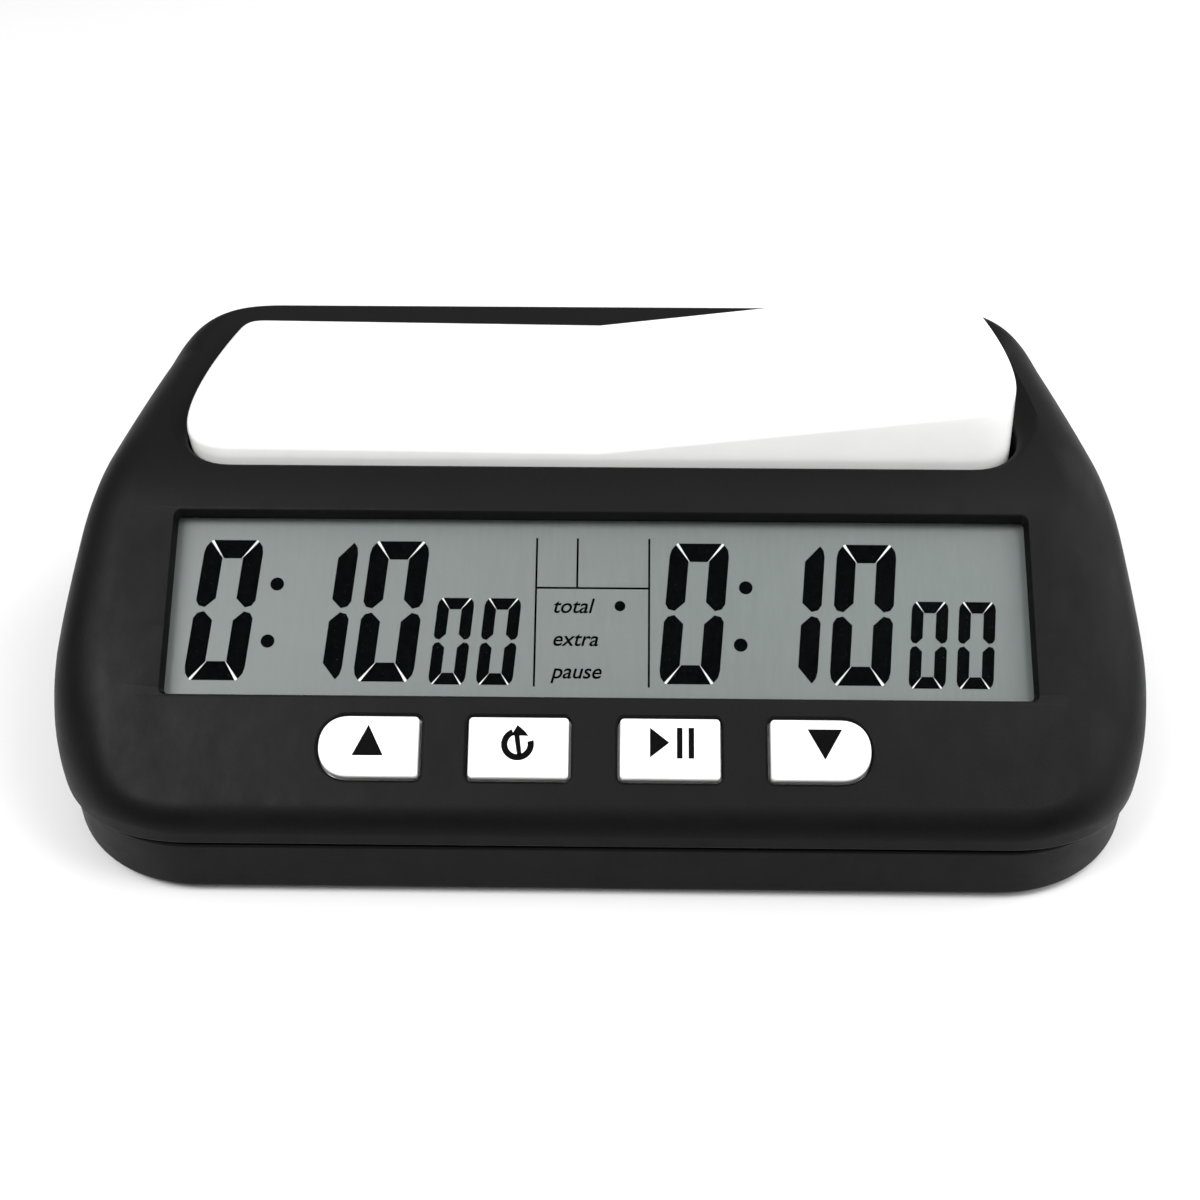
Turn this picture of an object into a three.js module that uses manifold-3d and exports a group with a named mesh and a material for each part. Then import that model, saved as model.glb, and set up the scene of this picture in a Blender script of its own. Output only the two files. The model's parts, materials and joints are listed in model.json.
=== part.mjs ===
// Digital chess clock: a black two-shell case with a sloping face, a liquid crystal display, four keys
// and a white rocker that the two players press in turn. Millimetres, +Z up, the players' side at -Y,
// origin on the table under the middle of the clock.
import * as THREE from "three";
import { mergeVertices } from "three/addons/utils/BufferGeometryUtils.js";
import Module from "manifold-3d";

const wasm = await Module();
wasm.setup();

const DEGREE = Math.PI / 180;
const GAP = 0.3; // clearance between pieces that touch on the real clock

// Case outline, right half seen from above
const FRONT_Y = -41.2;
const REAR_Y = 41.2;
const FRONT_STRAIGHT_X = 55;
const WIDEST = { x: 76.2, y: -18 };
const SIDE_END = { x: 67.8, y: 30 };
const REAR_STRAIGHT_X = 50;

// Case heights
const FEET = 0.9; // the feet stand the case this far off the table
const WALL = 2.2;
const PARTING_Z = 10.3;
const GROOVE = 0.8;
const LOWER_INSET = 0.4; // the lower shell is a little narrower than the upper one
const LIP_HEIGHT = 2.4;
const LIP_THICKNESS = 1.2;
const FLOOR_FILLET = 1;
const SHOULDER = { front: 2.5, side: 9, rear: 1.8 };

// Sloping face, called the deck: its middle, its tilt, and the curve that leads to the top
const DECK = { y: -14.3, z: 31.2, tilt: 30.8 * DEGREE };
const DECK_END_Y = -2.5;
const TOP_START_Y = 9;
const TOP_START_TILT = 4.5 * DEGREE;
const TOP_TILT = 3.4 * DEGREE;

// Display window and the stack behind it, in deck coordinates: x, s up the slope, n outward
const WINDOW = { x: 59.1, low: -13.4, high: 12, corner: 0.5 };
const BEZEL = { side: 0.6, low: 0.5, high: 0.9 }; // how far its chamfer spreads on each edge
const LENS = { x: 60.8, low: -14.5, high: 12.6, top: -1.6, thick: 1.0 };
const FRONT_GLASS = { x: 60.8, low: -14.5, high: 12.6, top: -2.9, thick: 1.1 };
const REAR_GLASS = { x: 60.8, low: -11.2, high: 9.9, top: -4.3, thick: 1.1 };
const REFLECTOR = { x: 59.5, low: -11.1, high: 9.8, top: -5.7, thick: 0.3 };
const ZEBRA = { x: 55, wide: 1.4, low: -12.2, high: 10.9, top: -4.3, bottom: -9.7 };
const FRAME_TOP = -6.3;
const FRAME_BOTTOM = -9.7;
const PCB = { x: 62, low: -26.5, high: 11.8, top: -10, thick: 1.6 };

// Keys
const KEY_S = -20.95;
const KEY = { wide: 13.45, tall: 8.3, corner: 0.6, proud: 0.9 };
const KEY_X = { button_up: -30.65, button_reset: -10.5, button_play_pause: 9.8, button_down: 29.95 };
const KEY_END_FLAT = 0.1; // half the straight left between the two curves of a rounded key end
const KEY_FLANGE = 0.8;
const KEY_STEM = 2.6;
const KEY_STEM_END = -5.6;
const DOME_TOP = -6.8;

// Rocker
const AXLE = { z: 35.2, radius: 1.5, front: 1.1, rear: 38.3 };
const REST_TILT = 3.4 * DEGREE;
const WING_RISE = 4.2 * DEGREE;
const VALLEY = 9.1; // height of the valley above the axle
const ROCKER = { frontY: 4.5, rearY: 35.7, frontX: 52.5, wideX: 59.3, wideY: 13, rearX: 55.7, round: 2.5 };
const ROCKER_WALL = 2;
const ROCKER_HUB = 3.4;
const ROCKER_SKIRT = 3.2; // the skirts end this far below the axle
const OPENING_GAP = 0.75;
const BEVEL_WIDTH = 3.4;
const BEVEL_DROP = 1.5;
const WELL = { floorZ: 26.5, wall: 1.4, floor: 1.6, endHalf: 5, frontEnd: 2.4, rearEnd: 3.5 };
const SNAP_SPRING = { foot: 8, crown: 2.5, thick: 0.4, wide: 6 };

// Player switches under the wings
const SWITCH_X = 24;
const SWITCH_Y = 20;
const SWITCH = { half: 3.6, bottom: 21.5, height: 4.6, plunger: 1.4, stem: 11.1, tip: 0.6 };
const PAD = { low: 1.2, half: 2.5 }; // the rocker's pads over the switches, from this far above the axle

// Two AA cells lie across the clock, the front one with its positive end to +X, the rear one to -X
const CELL = { radius: 7.2, length: 48.9, nub: 2.7, nubLength: 1.4, nubEnd: 29.3 };
const CELL_Z = 12;
const CELL_Y = { front: 13.5, rear: 28.8 };
const BOX = { x: 30.4, front: 5.4, rear: 36.7, top: 19.8, wall: 1.4 };
const COVER = { x: 28.5, front: 6.6, rear: 34.5, thick: 1.8 };
const GRIP = { x: 7, front: 4.5, rear: 2.5, deep: 0.8 }; // thumb recess by the cover's rear edge
const COIL = { radius: 4.6, taper: 0.35, turns: 4, wire: 0.35 };
const CONTACT = 5; // half the width of a contact plate

const POSTS = [[-67, -21], [67, -21], [-64.3, 24], [64.3, 24]];
const POST = { radius: 3.1, pilot: 1.35, hole: 1.8, head: 3, seat: 3.4 };
const FOOT = { x: 57, frontY: -30, rearY: 31, radius: 5, sunk: 0.9 };
const POWER = { x: 44, y: -12, travel: 2.5, slotX: 4.5, slotY: 2, recessX: 6.5, recessY: 3.6, recess: 0.9 };
const KNOB = { half: 1.6, flangeX: 3.4, flangeY: 3 };
const BUZZER = { x: -48, y: 12, radius: 6, height: 4.5 };
const LEAD = 0.6;
const KEYPAD = { x: 39, half: 4.6, thick: 1.2 };

const material = (color, roughness, metalness = 0, extra = {}) =>
  new THREE.MeshStandardMaterial({ color, roughness, metalness, ...extra });
const MATERIALS = {
  caseBlack: () => material(0x2b2b2c, 0.62),
  innerBlack: () => material(0x1c1c1d, 0.7),
  white: () => material(0xf4f4f2, 0.22),
  clear: () => material(0xdfe6e4, 0.08, 0, { transparent: true, opacity: 0.25 }),
  display: () => material(0x8f9a96, 0.3),
  silver: () => material(0xb8bcc0, 0.3, 1),
  steel: () => material(0xa9acb0, 0.35, 1),
  rubber: () => material(0x1a1a1a, 0.9),
  silicone: () => material(0xc9c9c4, 0.6),
  board: () => material(0x1d5c33, 0.5),
  epoxy: () => material(0x111111, 0.4),
  cell: () => material(0x2f5f8f, 0.4),
  red: () => material(0xa01d1d, 0.5),
};

// Boolean helpers
function toSolid(geometry) {
  const copy = geometry.clone();
  copy.deleteAttribute("normal");
  copy.deleteAttribute("uv");
  const merged = mergeVertices(copy, 1e-4);
  const vertProperties = Float32Array.from(merged.attributes.position.array);
  const corners = merged.index.array;
  const whole = (i) => new Set([corners[i], corners[i + 1], corners[i + 2]]).size === 3;
  const triVerts = Uint32Array.from(corners.filter((corner, i) => whole(i - (i % 3))));
  return new wasm.Manifold(new wasm.Mesh({ numProp: 3, vertProperties, triVerts }));
}

function toGeometry(solid) {
  const mesh = solid.getMesh();
  const geometry = new THREE.BufferGeometry();
  geometry.setAttribute("position", new THREE.BufferAttribute(Float32Array.from(mesh.vertProperties), 3));
  geometry.setIndex(new THREE.BufferAttribute(Uint32Array.from(mesh.triVerts), 1));
  geometry.computeVertexNormals();
  return geometry;
}

const joined = (...geometries) => geometries.map(toSolid).reduce((sum, next) => sum.add(next));
const cut = (solid, ...geometries) =>
  geometries.map(toSolid).reduce((rest, next) => rest.subtract(next), solid);

// Simple shapes, each placed by its own limits
function block(x0, x1, y0, y1, z0, z1) {
  const geometry = new THREE.BoxGeometry(x1 - x0, y1 - y0, z1 - z0);
  return geometry.translate((x0 + x1) / 2, (y0 + y1) / 2, (z0 + z1) / 2);
}

function rod(radius, z0, z1, sides = 16, x = 0, y = 0) {
  const geometry = new THREE.CylinderGeometry(radius, radius, z1 - z0, sides);
  return geometry.rotateX(Math.PI / 2).translate(x, y, (z0 + z1) / 2);
}

function turned(points, sides = 20) {
  const profile = points.map(([radius, height]) => new THREE.Vector2(radius, height));
  return new THREE.LatheGeometry(profile, sides).rotateX(Math.PI / 2);
}

function roundedRectangle(x0, x1, y0, y1, radius) {
  const shape = new THREE.Shape();
  shape.moveTo(x0 + radius, y0);
  shape.lineTo(x1 - radius, y0);
  shape.absarc(x1 - radius, y0 + radius, radius, -Math.PI / 2, 0);
  shape.absarc(x1 - radius, y1 - radius, radius, 0, Math.PI / 2);
  shape.absarc(x0 + radius, y1 - radius, radius, Math.PI / 2, Math.PI);
  shape.absarc(x0 + radius, y0 + radius, radius, Math.PI, Math.PI * 1.5);
  return shape;
}

// Points of an outline without neighbours that coincide, where one curve ends and the next starts
function outlinePoints(shape, divisions = 4) {
  const points = shape.getPoints(divisions);
  return points.filter((point, i) => point.distanceTo(points[(i + 1) % points.length]) > 1e-3);
}

function plate(shape, z0, z1, divisions = 4) {
  const outline = new THREE.Shape(outlinePoints(shape, divisions));
  const geometry = new THREE.ExtrudeGeometry(outline, { depth: z1 - z0, bevelEnabled: false });
  return geometry.translate(0, 0, z0);
}

function tube(points, radius, steps = 24, sides = 6) {
  const path = new THREE.CatmullRomCurve3(points.map((point) => new THREE.Vector3(...point)));
  const section = new THREE.Shape().absarc(0, 0, radius, 0, Math.PI * 2);
  return new THREE.ExtrudeGeometry(section, { steps, curveSegments: sides, extrudePath: path });
}

// Height of the case top above the table, the same right across the clock
function topHeight(y) {
  const deckZ = DECK.z + Math.tan(DECK.tilt) * (Math.min(y, DECK_END_Y) - DECK.y);
  if (y <= DECK_END_Y) return deckZ;
  const radius = (TOP_START_Y - DECK_END_Y) / (Math.sin(DECK.tilt) - Math.sin(TOP_START_TILT));
  const sine = Math.sin(DECK.tilt) - (Math.min(y, TOP_START_Y) - DECK_END_Y) / radius;
  const curveZ = deckZ + radius * (Math.sqrt(1 - sine * sine) - Math.cos(DECK.tilt));
  return curveZ + Math.tan(TOP_TILT) * Math.max(0, y - TOP_START_Y);
}

// A half outline runs from the front, round the right side, to the rear, without its points on x = 0
function halfOutline(segments) {
  const points = [];
  for (const [curve, divisions] of segments) {
    const first = points.length ? 1 : 0;
    for (let i = first; i <= divisions; i += 1) points.push(curve.getPoint(i / divisions));
  }
  return points;
}

const bezier = (...xy) => {
  const points = [];
  for (let i = 0; i < xy.length; i += 2) points.push(new THREE.Vector2(xy[i], xy[i + 1]));
  return new THREE.CubicBezierCurve(...points);
};

const caseOutline = (cornerX, cornerY) => halfOutline([
  [bezier(FRONT_STRAIGHT_X, FRONT_Y, cornerX, FRONT_Y, WIDEST.x, cornerY, WIDEST.x, WIDEST.y), 11],
  [bezier(WIDEST.x, WIDEST.y, WIDEST.x, -11, 71.9, 14, SIDE_END.x, SIDE_END.y), 12],
  [bezier(SIDE_END.x, SIDE_END.y, 66.3, 36.2, 60.5, REAR_Y, REAR_STRAIGHT_X, REAR_Y), 8],
]);
const CASE_OUTLINE = caseOutline(66.9, -34.2);
const LOWER_OUTLINE = caseOutline(65.7, -33); // the lower shell's front corners are rounder

function rockerOutline(grow) {
  const front = ROCKER.frontY - grow;
  const rear = ROCKER.rearY + grow;
  const wide = ROCKER.wideX + grow;
  const back = ROCKER.rearX + grow;
  return halfOutline([
    [bezier(ROCKER.frontX, front, wide - 2.1, front, wide, ROCKER.wideY - 6, wide, ROCKER.wideY), 7],
    [bezier(wide, ROCKER.wideY, wide, 19.5, back + 1.6, 27.5, back, rear - 3.3), 6],
    [bezier(back, rear - 3.3, back - 0.7, rear - 0.8, back - 2.1, rear, back - 4.8, rear), 5],
  ]);
}

// Outward normals of a half outline, square to the straights at its two ends
function normals(points) {
  return points.map((point, i) => {
    const before = points[i - 1] ?? new THREE.Vector2(0, point.y);
    const after = points[i + 1] ?? new THREE.Vector2(0, point.y);
    const run = after.clone().sub(before);
    return new THREE.Vector2(run.y, -run.x).normalize();
  });
}

// A closed solid through a stack of mirrored half rings. A ring is { half, height(x, y, i) }, and the
// floor and the top are ladders of strips across the solid, with a row of points on x = 0.
function ringSolid(rings) {
  const positions = [];
  const indices = [];
  const count = rings[0].half.length;
  const around = count * 2 + 2;
  const starts = rings.map(({ half, height }) => {
    const start = positions.length / 3;
    const last = count - 1;
    positions.push(0, half[0].y, height(0, half[0].y, 0));
    half.forEach(({ x, y }, i) => positions.push(x, y, height(x, y, i)));
    positions.push(0, half[last].y, height(0, half[last].y, last));
    for (let i = last; i >= 0; i -= 1) {
      const { x, y } = half[i];
      positions.push(-x, y, height(x, y, i));
    }
    return start;
  });
  for (let r = 1; r < starts.length; r += 1) {
    for (let i = 0; i < around; i += 1) {
      const next = (i + 1) % around;
      const [low, high] = [starts[r - 1], starts[r]];
      indices.push(low + i, low + next, high + next, low + i, high + next, high + i);
    }
  }
  function addCap(ring, start, up) {
    const right = (i) => start + 1 + i;
    const left = (i) => start + around - 1 - i;
    const middle = ring.half.map(({ y }, i) => {
      if (i === 0) return start;
      if (i === count - 1) return start + count + 1;
      positions.push(0, y, ring.height(0, y, i));
      return positions.length / 3 - 1;
    });
    const addFace = (p, q, r) => indices.push(p, up ? q : r, up ? r : q);
    for (let i = 0; i < count - 1; i += 1) {
      addFace(middle[i], right(i), right(i + 1));
      addFace(middle[i], right(i + 1), middle[i + 1]);
      addFace(left(i), middle[i], middle[i + 1]);
      addFace(left(i), middle[i + 1], left(i + 1));
    }
  }
  addCap(rings[0], starts[0], false);
  addCap(rings[rings.length - 1], starts[starts.length - 1], true);
  const geometry = new THREE.BufferGeometry();
  geometry.setAttribute("position", new THREE.Float32BufferAttribute(positions, 3));
  geometry.setIndex(indices);
  return geometry;
}

const offsetOutline = (outline, offsetAt) => {
  const out = normals(outline);
  return outline.map((point, i) => point.clone().addScaledVector(out[i], offsetAt(i)));
};

// A flat or filleted floor, upright walls, a rounded shoulder whose radius may change round the outline,
// and a top that follows a height function
function domedSolid({ outline, inset = 0, floor, fillet = 0, top, shoulder, shoulderSteps = 4 }) {
  const rings = [];
  const filletSteps = fillet > 0 ? 3 : 0;
  for (let i = 0; i <= filletSteps; i += 1) {
    const angle = filletSteps ? (i / filletSteps) * 90 * DEGREE : 90 * DEGREE;
    const half = offsetOutline(outline, () => -inset - fillet * (1 - Math.sin(angle)));
    rings.push({ half, height: () => floor + fillet * (filletSteps ? 1 - Math.cos(angle) : 0) });
  }
  const radii = normals(outline).map(shoulder);
  for (let i = 0; i <= shoulderSteps; i += 1) {
    const angle = (i / shoulderSteps) * 90 * DEGREE;
    const half = offsetOutline(outline, (k) => -inset - radii[k] * (1 - Math.cos(angle)));
    rings.push({ half, height: (x, y, k) => top(x, y) - radii[k] * (1 - Math.sin(angle)) });
  }
  return ringSolid(rings);
}

const smooth = (value, from, to) => THREE.MathUtils.smoothstep(value, from, to);

// Shoulder radius by the way the wall faces: tight along the front, broad at the sides, tight at the rear
function caseShoulder(normal) {
  const facing = Math.atan2(normal.x, -normal.y) / DEGREE;
  if (facing < 90) return THREE.MathUtils.lerp(SHOULDER.front, SHOULDER.side, smooth(facing, 12, 72));
  return THREE.MathUtils.lerp(SHOULDER.side, SHOULDER.rear, smooth(facing, 100, 172));
}

const shrunkShoulder = (by) => (normal) => Math.max(0.6, caseShoulder(normal) - by);

const caseSkin = () => domedSolid({
  outline: CASE_OUTLINE,
  floor: FEET,
  fillet: FLOOR_FILLET,
  top: (x, y) => topHeight(y),
  shoulder: caseShoulder,
});

const caseCore = (clearance, floor = FEET + WALL) => domedSolid({
  outline: CASE_OUTLINE,
  inset: WALL + clearance,
  floor,
  top: (x, y) => topHeight(y) - (WALL + clearance) / Math.cos(DECK.tilt),
  shoulder: shrunkShoulder(WALL + clearance),
});

const outlinePrism = (outline, inset, floor, height) => domedSolid({
  outline, inset, floor, top: () => height, shoulder: () => 0, shoulderSteps: 1,
});

// Moves a shape from deck coordinates to the clock's own
const deckMatrix = new THREE.Matrix4().makeRotationX(DECK.tilt).setPosition(0, DECK.y, DECK.z);
const fromDeck = (geometry) => geometry.applyMatrix4(deckMatrix);

const BIG = 200;
const THROUGH = 5; // how far the cutters of the deck stand out of it

function keyShape(name, grow) {
  const half = KEY.wide / 2 + grow;
  const tall = KEY.tall / 2 + grow;
  const corner = KEY.corner + grow;
  const shape = new THREE.Shape();
  const end = name === "button_up" ? -1 : 1;
  const roundEnd = name === "button_up" || name === "button_down";
  const reach = roundEnd ? tall - KEY_END_FLAT : corner;
  const square = half - corner;
  const [turnStart, turn] = [end * (half - reach), end * (half - reach * 0.35)];
  const steep = tall - reach * 0.45;
  shape.moveTo(-end * square, -tall);
  shape.lineTo(turnStart, -tall);
  shape.bezierCurveTo(turn, -tall, end * half, -steep, end * half, -tall + reach);
  shape.lineTo(end * half, tall - reach);
  shape.bezierCurveTo(end * half, steep, turn, tall, turnStart, tall);
  shape.lineTo(-end * square, tall);
  shape.quadraticCurveTo(-end * half, tall, -end * half, tall - corner);
  shape.lineTo(-end * half, -tall + corner);
  shape.quadraticCurveTo(-end * half, -tall, -end * square, -tall);
  return shape;
}

function makeUpperCase() {
  let solid = toSolid(caseSkin());
  solid = cut(solid, caseCore(0, 0), block(-BIG, BIG, -BIG, BIG, -BIG, PARTING_Z + GROOVE / 2));
  const posts = POSTS.map(([x, y]) => rod(POST.radius, PARTING_Z + GROOVE / 2, 60, 14, x, y));
  const insideSkin = toSolid(caseCore(-0.5, 0));
  solid = solid.add(joined(...posts).intersect(insideSkin));
  const pilots = POSTS.map(([x, y]) => rod(POST.pilot, 0, topHeight(y) - 8, 10, x, y));
  solid = cut(solid, ...pilots, fromDeck(windowCutter()), fromDeck(lensPocket()));
  for (const [name, x] of Object.entries(KEY_X)) {
    solid = cut(solid, fromDeck(plate(keyShape(name, GAP), -THROUGH * 2, THROUGH).translate(x, KEY_S, 0)));
  }
  return toGeometry(cut(solid, openingHole(), openingBevel()));
}

// Rocker opening: a straight hole, widened at the top by a bevel that dies out at the front corners
const openingHole = () => outlinePrism(rockerOutline(OPENING_GAP), 0, 20, 70);

function openingBevel() {
  const hole = rockerOutline(OPENING_GAP);
  const fade = (y) => smooth(y, ROCKER.frontY, ROCKER.frontY + 12);
  const rim = offsetOutline(hole, (i) => BEVEL_WIDTH * fade(hole[i].y));
  return ringSolid([
    { half: hole, height: (x, y) => topHeight(y) - BEVEL_DROP * fade(y) + 0.01 },
    { half: rim, height: (x, y) => topHeight(y) + 0.01 },
    { half: rim, height: () => 70 },
  ]);
}

// The window through the face, chamfered outward above the lens
function windowCutter() {
  const { x, low, high, corner } = WINDOW;
  const hole = roundedRectangle(-x, x, low, high, corner);
  const { side, low: below, high: above } = BEZEL;
  const mouth = roundedRectangle(-x - side, x + side, low - below, high + above, corner + below);
  const [inner, outer] = [outlinePoints(hole), outlinePoints(mouth)];
  const funnel = loft([[inner, LENS.top], [outer, 0.2], [outer, THROUGH]]);
  return toGeometry(joined(plate(hole, -THROUGH * 2, THROUGH), funnel));
}

// A closed solid through outlines of the same number of points at rising heights
function loft(levels) {
  const positions = [];
  const indices = [];
  const outlines = levels.map(([points]) => points);
  const count = outlines[0].length;
  outlines.forEach((points, level) => points.forEach(({ x, y }) => positions.push(x, y, levels[level][1])));
  for (let level = 1; level < levels.length; level += 1) {
    for (let i = 0; i < count; i += 1) {
      const next = (i + 1) % count;
      const [low, high] = [(level - 1) * count, level * count];
      indices.push(low + i, low + next, high + next, low + i, high + next, high + i);
    }
  }
  const caps = THREE.ShapeUtils.triangulateShape(outlines[0], []);
  const lastStart = (levels.length - 1) * count;
  for (const [a, b, c] of caps) {
    indices.push(a, c, b);
    indices.push(lastStart + a, lastStart + b, lastStart + c);
  }
  const geometry = new THREE.BufferGeometry();
  geometry.setAttribute("position", new THREE.Float32BufferAttribute(positions, 3));
  geometry.setIndex(indices);
  return geometry;
}

// Room behind the window for the lens and the display
const lensPocket = () =>
  block(-LENS.x - GAP, LENS.x + GAP, LENS.low - GAP, LENS.high + GAP, -THROUGH * 2, LENS.top + GAP);

function makeLowerCase() {
  let solid = toSolid(domedSolid({
    outline: LOWER_OUTLINE,
    inset: LOWER_INSET,
    floor: FEET,
    fillet: FLOOR_FILLET,
    top: () => PARTING_Z - GROOVE / 2,
    shoulder: () => 0,
    shoulderSteps: 1,
  }));
  const lipInset = WALL + GAP;
  const lip = outlinePrism(LOWER_OUTLINE, lipInset, FEET + WALL, PARTING_Z + LIP_HEIGHT);
  solid = solid.add(toSolid(lip));
  const inside = outlinePrism(LOWER_OUTLINE, lipInset + LIP_THICKNESS, FEET + WALL, 60);
  solid = cut(solid, inside);
  const posts = POSTS.map(([x, y]) => rod(POST.radius + 0.9, FEET + 0.5, PARTING_Z - GROOVE / 2, 14, x, y));
  const boxX = BOX.x + BOX.wall;
  const boxTop = BOX.top + BOX.wall;
  const batteryBox = block(-boxX, boxX, BOX.front - BOX.wall, BOX.rear + BOX.wall, FEET + 0.5, boxTop);
  solid = solid.add(joined(...posts, batteryBox).intersect(toSolid(caseCore(-0.6, FEET + 0.2))));
  const holes = POSTS.flatMap(([x, y]) => [
    rod(POST.hole, 0, 30, 12, x, y),
    rod(POST.head + 0.4, 0, FEET + POST.seat, 14, x, y),
    rod(POST.radius + GAP, PARTING_Z - GROOVE / 2, 30, 14, x, y),
  ]);
  const batterySpace = block(-BOX.x, BOX.x, BOX.front, BOX.rear, FEET + WALL, BOX.top);
  const coverX = COVER.x + GAP;
  const coverHole = block(-coverX, coverX, COVER.front - GAP, COVER.rear + GAP, 0, FEET + WALL + 1);
  const feet = footPlaces().map(([x, y]) => rod(FOOT.radius + GAP, 0, FEET + FOOT.sunk, 20, x, y));
  const { slotX, slotY, recessX, recessY, recess } = POWER;
  const powerSlot = block(-slotX, slotX, -slotY, slotY, 0, FEET + WALL + 1);
  const powerRecess = block(-recessX, recessX, -recessY, recessY, 0, FEET + recess);
  const powerHoles = [powerSlot, powerRecess].map((hole) => hole.translate(POWER.x, POWER.y, 0));
  return toGeometry(cut(solid, ...holes, batterySpace, coverHole, ...feet, ...powerHoles));
}

const footPlaces = () => [
  [-FOOT.x, FOOT.frontY], [FOOT.x, FOOT.frontY], [-FOOT.x, FOOT.rearY], [FOOT.x, FOOT.rearY],
];

// The rocker, drawn level about its axle: a shallow V on top, skirts all round, a hub that the axle fills
function makeRocker() {
  const wingTop = (x) => VALLEY + Math.abs(x) * Math.tan(WING_RISE);
  const outline = rockerOutline(0);
  const outer = toSolid(domedSolid({
    outline, floor: -ROCKER_SKIRT, top: wingTop, shoulder: () => ROCKER.round,
  }));
  const inner = domedSolid({
    outline,
    inset: ROCKER_WALL,
    floor: -ROCKER_SKIRT - 1,
    top: (x) => wingTop(x) - ROCKER_WALL,
    shoulder: () => 0.6,
    shoulderSteps: 1,
  });
  const length = ROCKER.rearY - ROCKER.frontY;
  const middle = (ROCKER.frontY + ROCKER.rearY) / 2;
  const hub = new THREE.CylinderGeometry(ROCKER_HUB, ROCKER_HUB, length - 1, 20).translate(0, middle, 0);
  const web = block(-1.2, 1.2, ROCKER.frontY + 1, ROCKER.rearY - 1, 0, VALLEY - 1);
  const pads = [-SWITCH_X, SWITCH_X].map((x) => {
    const pad = block(-PAD.half, PAD.half, -PAD.half, PAD.half, PAD.low, wingTop(x) - 1);
    return pad.translate(x, SWITCH_Y, 0);
  });
  const bore = new THREE.CylinderGeometry(AXLE.radius + GAP, AXLE.radius + GAP, length + 10, 16)
    .translate(0, middle, 0);
  return toGeometry(cut(cut(outer, inner).add(joined(hub, web, ...pads)), bore));
}

// Tray under the rocker: it closes the case below the opening and carries the axle
function makeWell() {
  const outer = toSolid(outlinePrism(rockerOutline(OPENING_GAP + WELL.wall), 0, WELL.floorZ, 70));
  const under = toSolid(caseCore(GAP, 0));
  const room = outlinePrism(rockerOutline(OPENING_GAP), 0, WELL.floorZ + WELL.floor, 80);
  let solid = cut(outer.intersect(under), room);
  const front = ROCKER.frontY - OPENING_GAP;
  const rear = ROCKER.rearY + OPENING_GAP;
  const { endHalf, frontEnd, rearEnd } = WELL;
  const ends = [
    block(-endHalf, endHalf, front - WELL.wall, front, WELL.floorZ, AXLE.z + frontEnd),
    block(-endHalf, endHalf, rear, rear + WELL.wall, WELL.floorZ, AXLE.z + rearEnd),
  ];
  solid = solid.add(joined(...ends).intersect(outer).intersect(under));
  const bore = new THREE.CylinderGeometry(AXLE.radius + GAP, AXLE.radius + GAP, 60, 14)
    .translate(0, 20, AXLE.z);
  const plungers = [-SWITCH_X, SWITCH_X].map((x) => rod(SWITCH.plunger + 0.6, 0, 40, 12, x, SWITCH_Y));
  return toGeometry(cut(solid, bore, ...plungers));
}

const axle = () => new THREE.CylinderGeometry(AXLE.radius, AXLE.radius, AXLE.rear - AXLE.front, 14)
  .translate(0, (AXLE.front + AXLE.rear) / 2, 0);

// Leaf spring on the well floor, bowed up under the rocker's hub
function snapSpring() {
  const { foot, crown, thick, wide } = SNAP_SPRING;
  const divisions = 10;
  const shape = new THREE.Shape();
  shape.moveTo(-foot, 0);
  shape.quadraticCurveTo(0, crown * 2, foot, 0);
  shape.lineTo(foot, thick);
  shape.quadraticCurveTo(0, crown * 2 + thick, -foot, thick);
  return plate(shape, -wide / 2, wide / 2, divisions).rotateX(Math.PI / 2);
}

function makeKey(name) {
  const cap = plate(keyShape(name, 0), -3, KEY.proud - 0.5);
  const crown = plate(keyShape(name, -0.35), -3, KEY.proud);
  const flange = plate(keyShape(name, KEY_FLANGE), -3.6, -2.5);
  const stem = rod(KEY_STEM, KEY_STEM_END, -3, 12);
  return toGeometry(joined(cap, crown, flange, stem));
}

function makeKeypad() {
  const { x: end, half, thick } = KEYPAD;
  const low = PCB.top + GAP;
  const mat = plate(roundedRectangle(-end, end, KEY_S - half, KEY_S + half, 1), low, low + thick);
  const domes = Object.values(KEY_X).map((x) => {
    const profile = [[0, low + thick / 2], [4, low + thick / 2], [2.8, DOME_TOP], [0, DOME_TOP]];
    return turned(profile, 14).translate(x, KEY_S, 0);
  });
  return toGeometry(joined(mat, ...domes));
}

const layer = ({ x, low, high, top, thick }, corner = 0.6) =>
  plate(roundedRectangle(-x, x, low, high, corner), top - thick, top, 2);

function makeFrame() {
  const outer = block(-LENS.x - 1, LENS.x + 1, LENS.low, LENS.high, FRAME_BOTTOM, FRAME_TOP);
  const inner = block(-ZEBRA.x - GAP, ZEBRA.x + GAP, -13.3, PCB.high, FRAME_BOTTOM - 1, FRAME_TOP + 1);
  return toGeometry(cut(toSolid(outer), inner));
}

// A tapering battery spring, standing on its wide end
function coil(height) {
  const { radius, taper, turns, wire } = COIL;
  const perTurn = 7;
  const steps = turns * perTurn;
  const points = [];
  for (let i = 0; i <= steps; i += 1) {
    const angle = (i / perTurn) * Math.PI * 2;
    const reach = radius * (1 - taper * (i / steps));
    points.push([Math.cos(angle) * reach, Math.sin(angle) * reach, (i / steps) * height]);
  }
  return tube(points, wire, steps, 5);
}

const cell = () => {
  const { radius, length, nub, nubLength } = CELL;
  const bead = 0.6;
  const can = [[0, 0], [radius - bead, 0], [radius, bead], [radius, length - bead], [radius - bead, length]];
  const profile = [...can, [nub, length], [nub, length + nubLength], [0, length + nubLength]];
  return turned(profile, 24);
};

const group = new THREE.Group();

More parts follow.
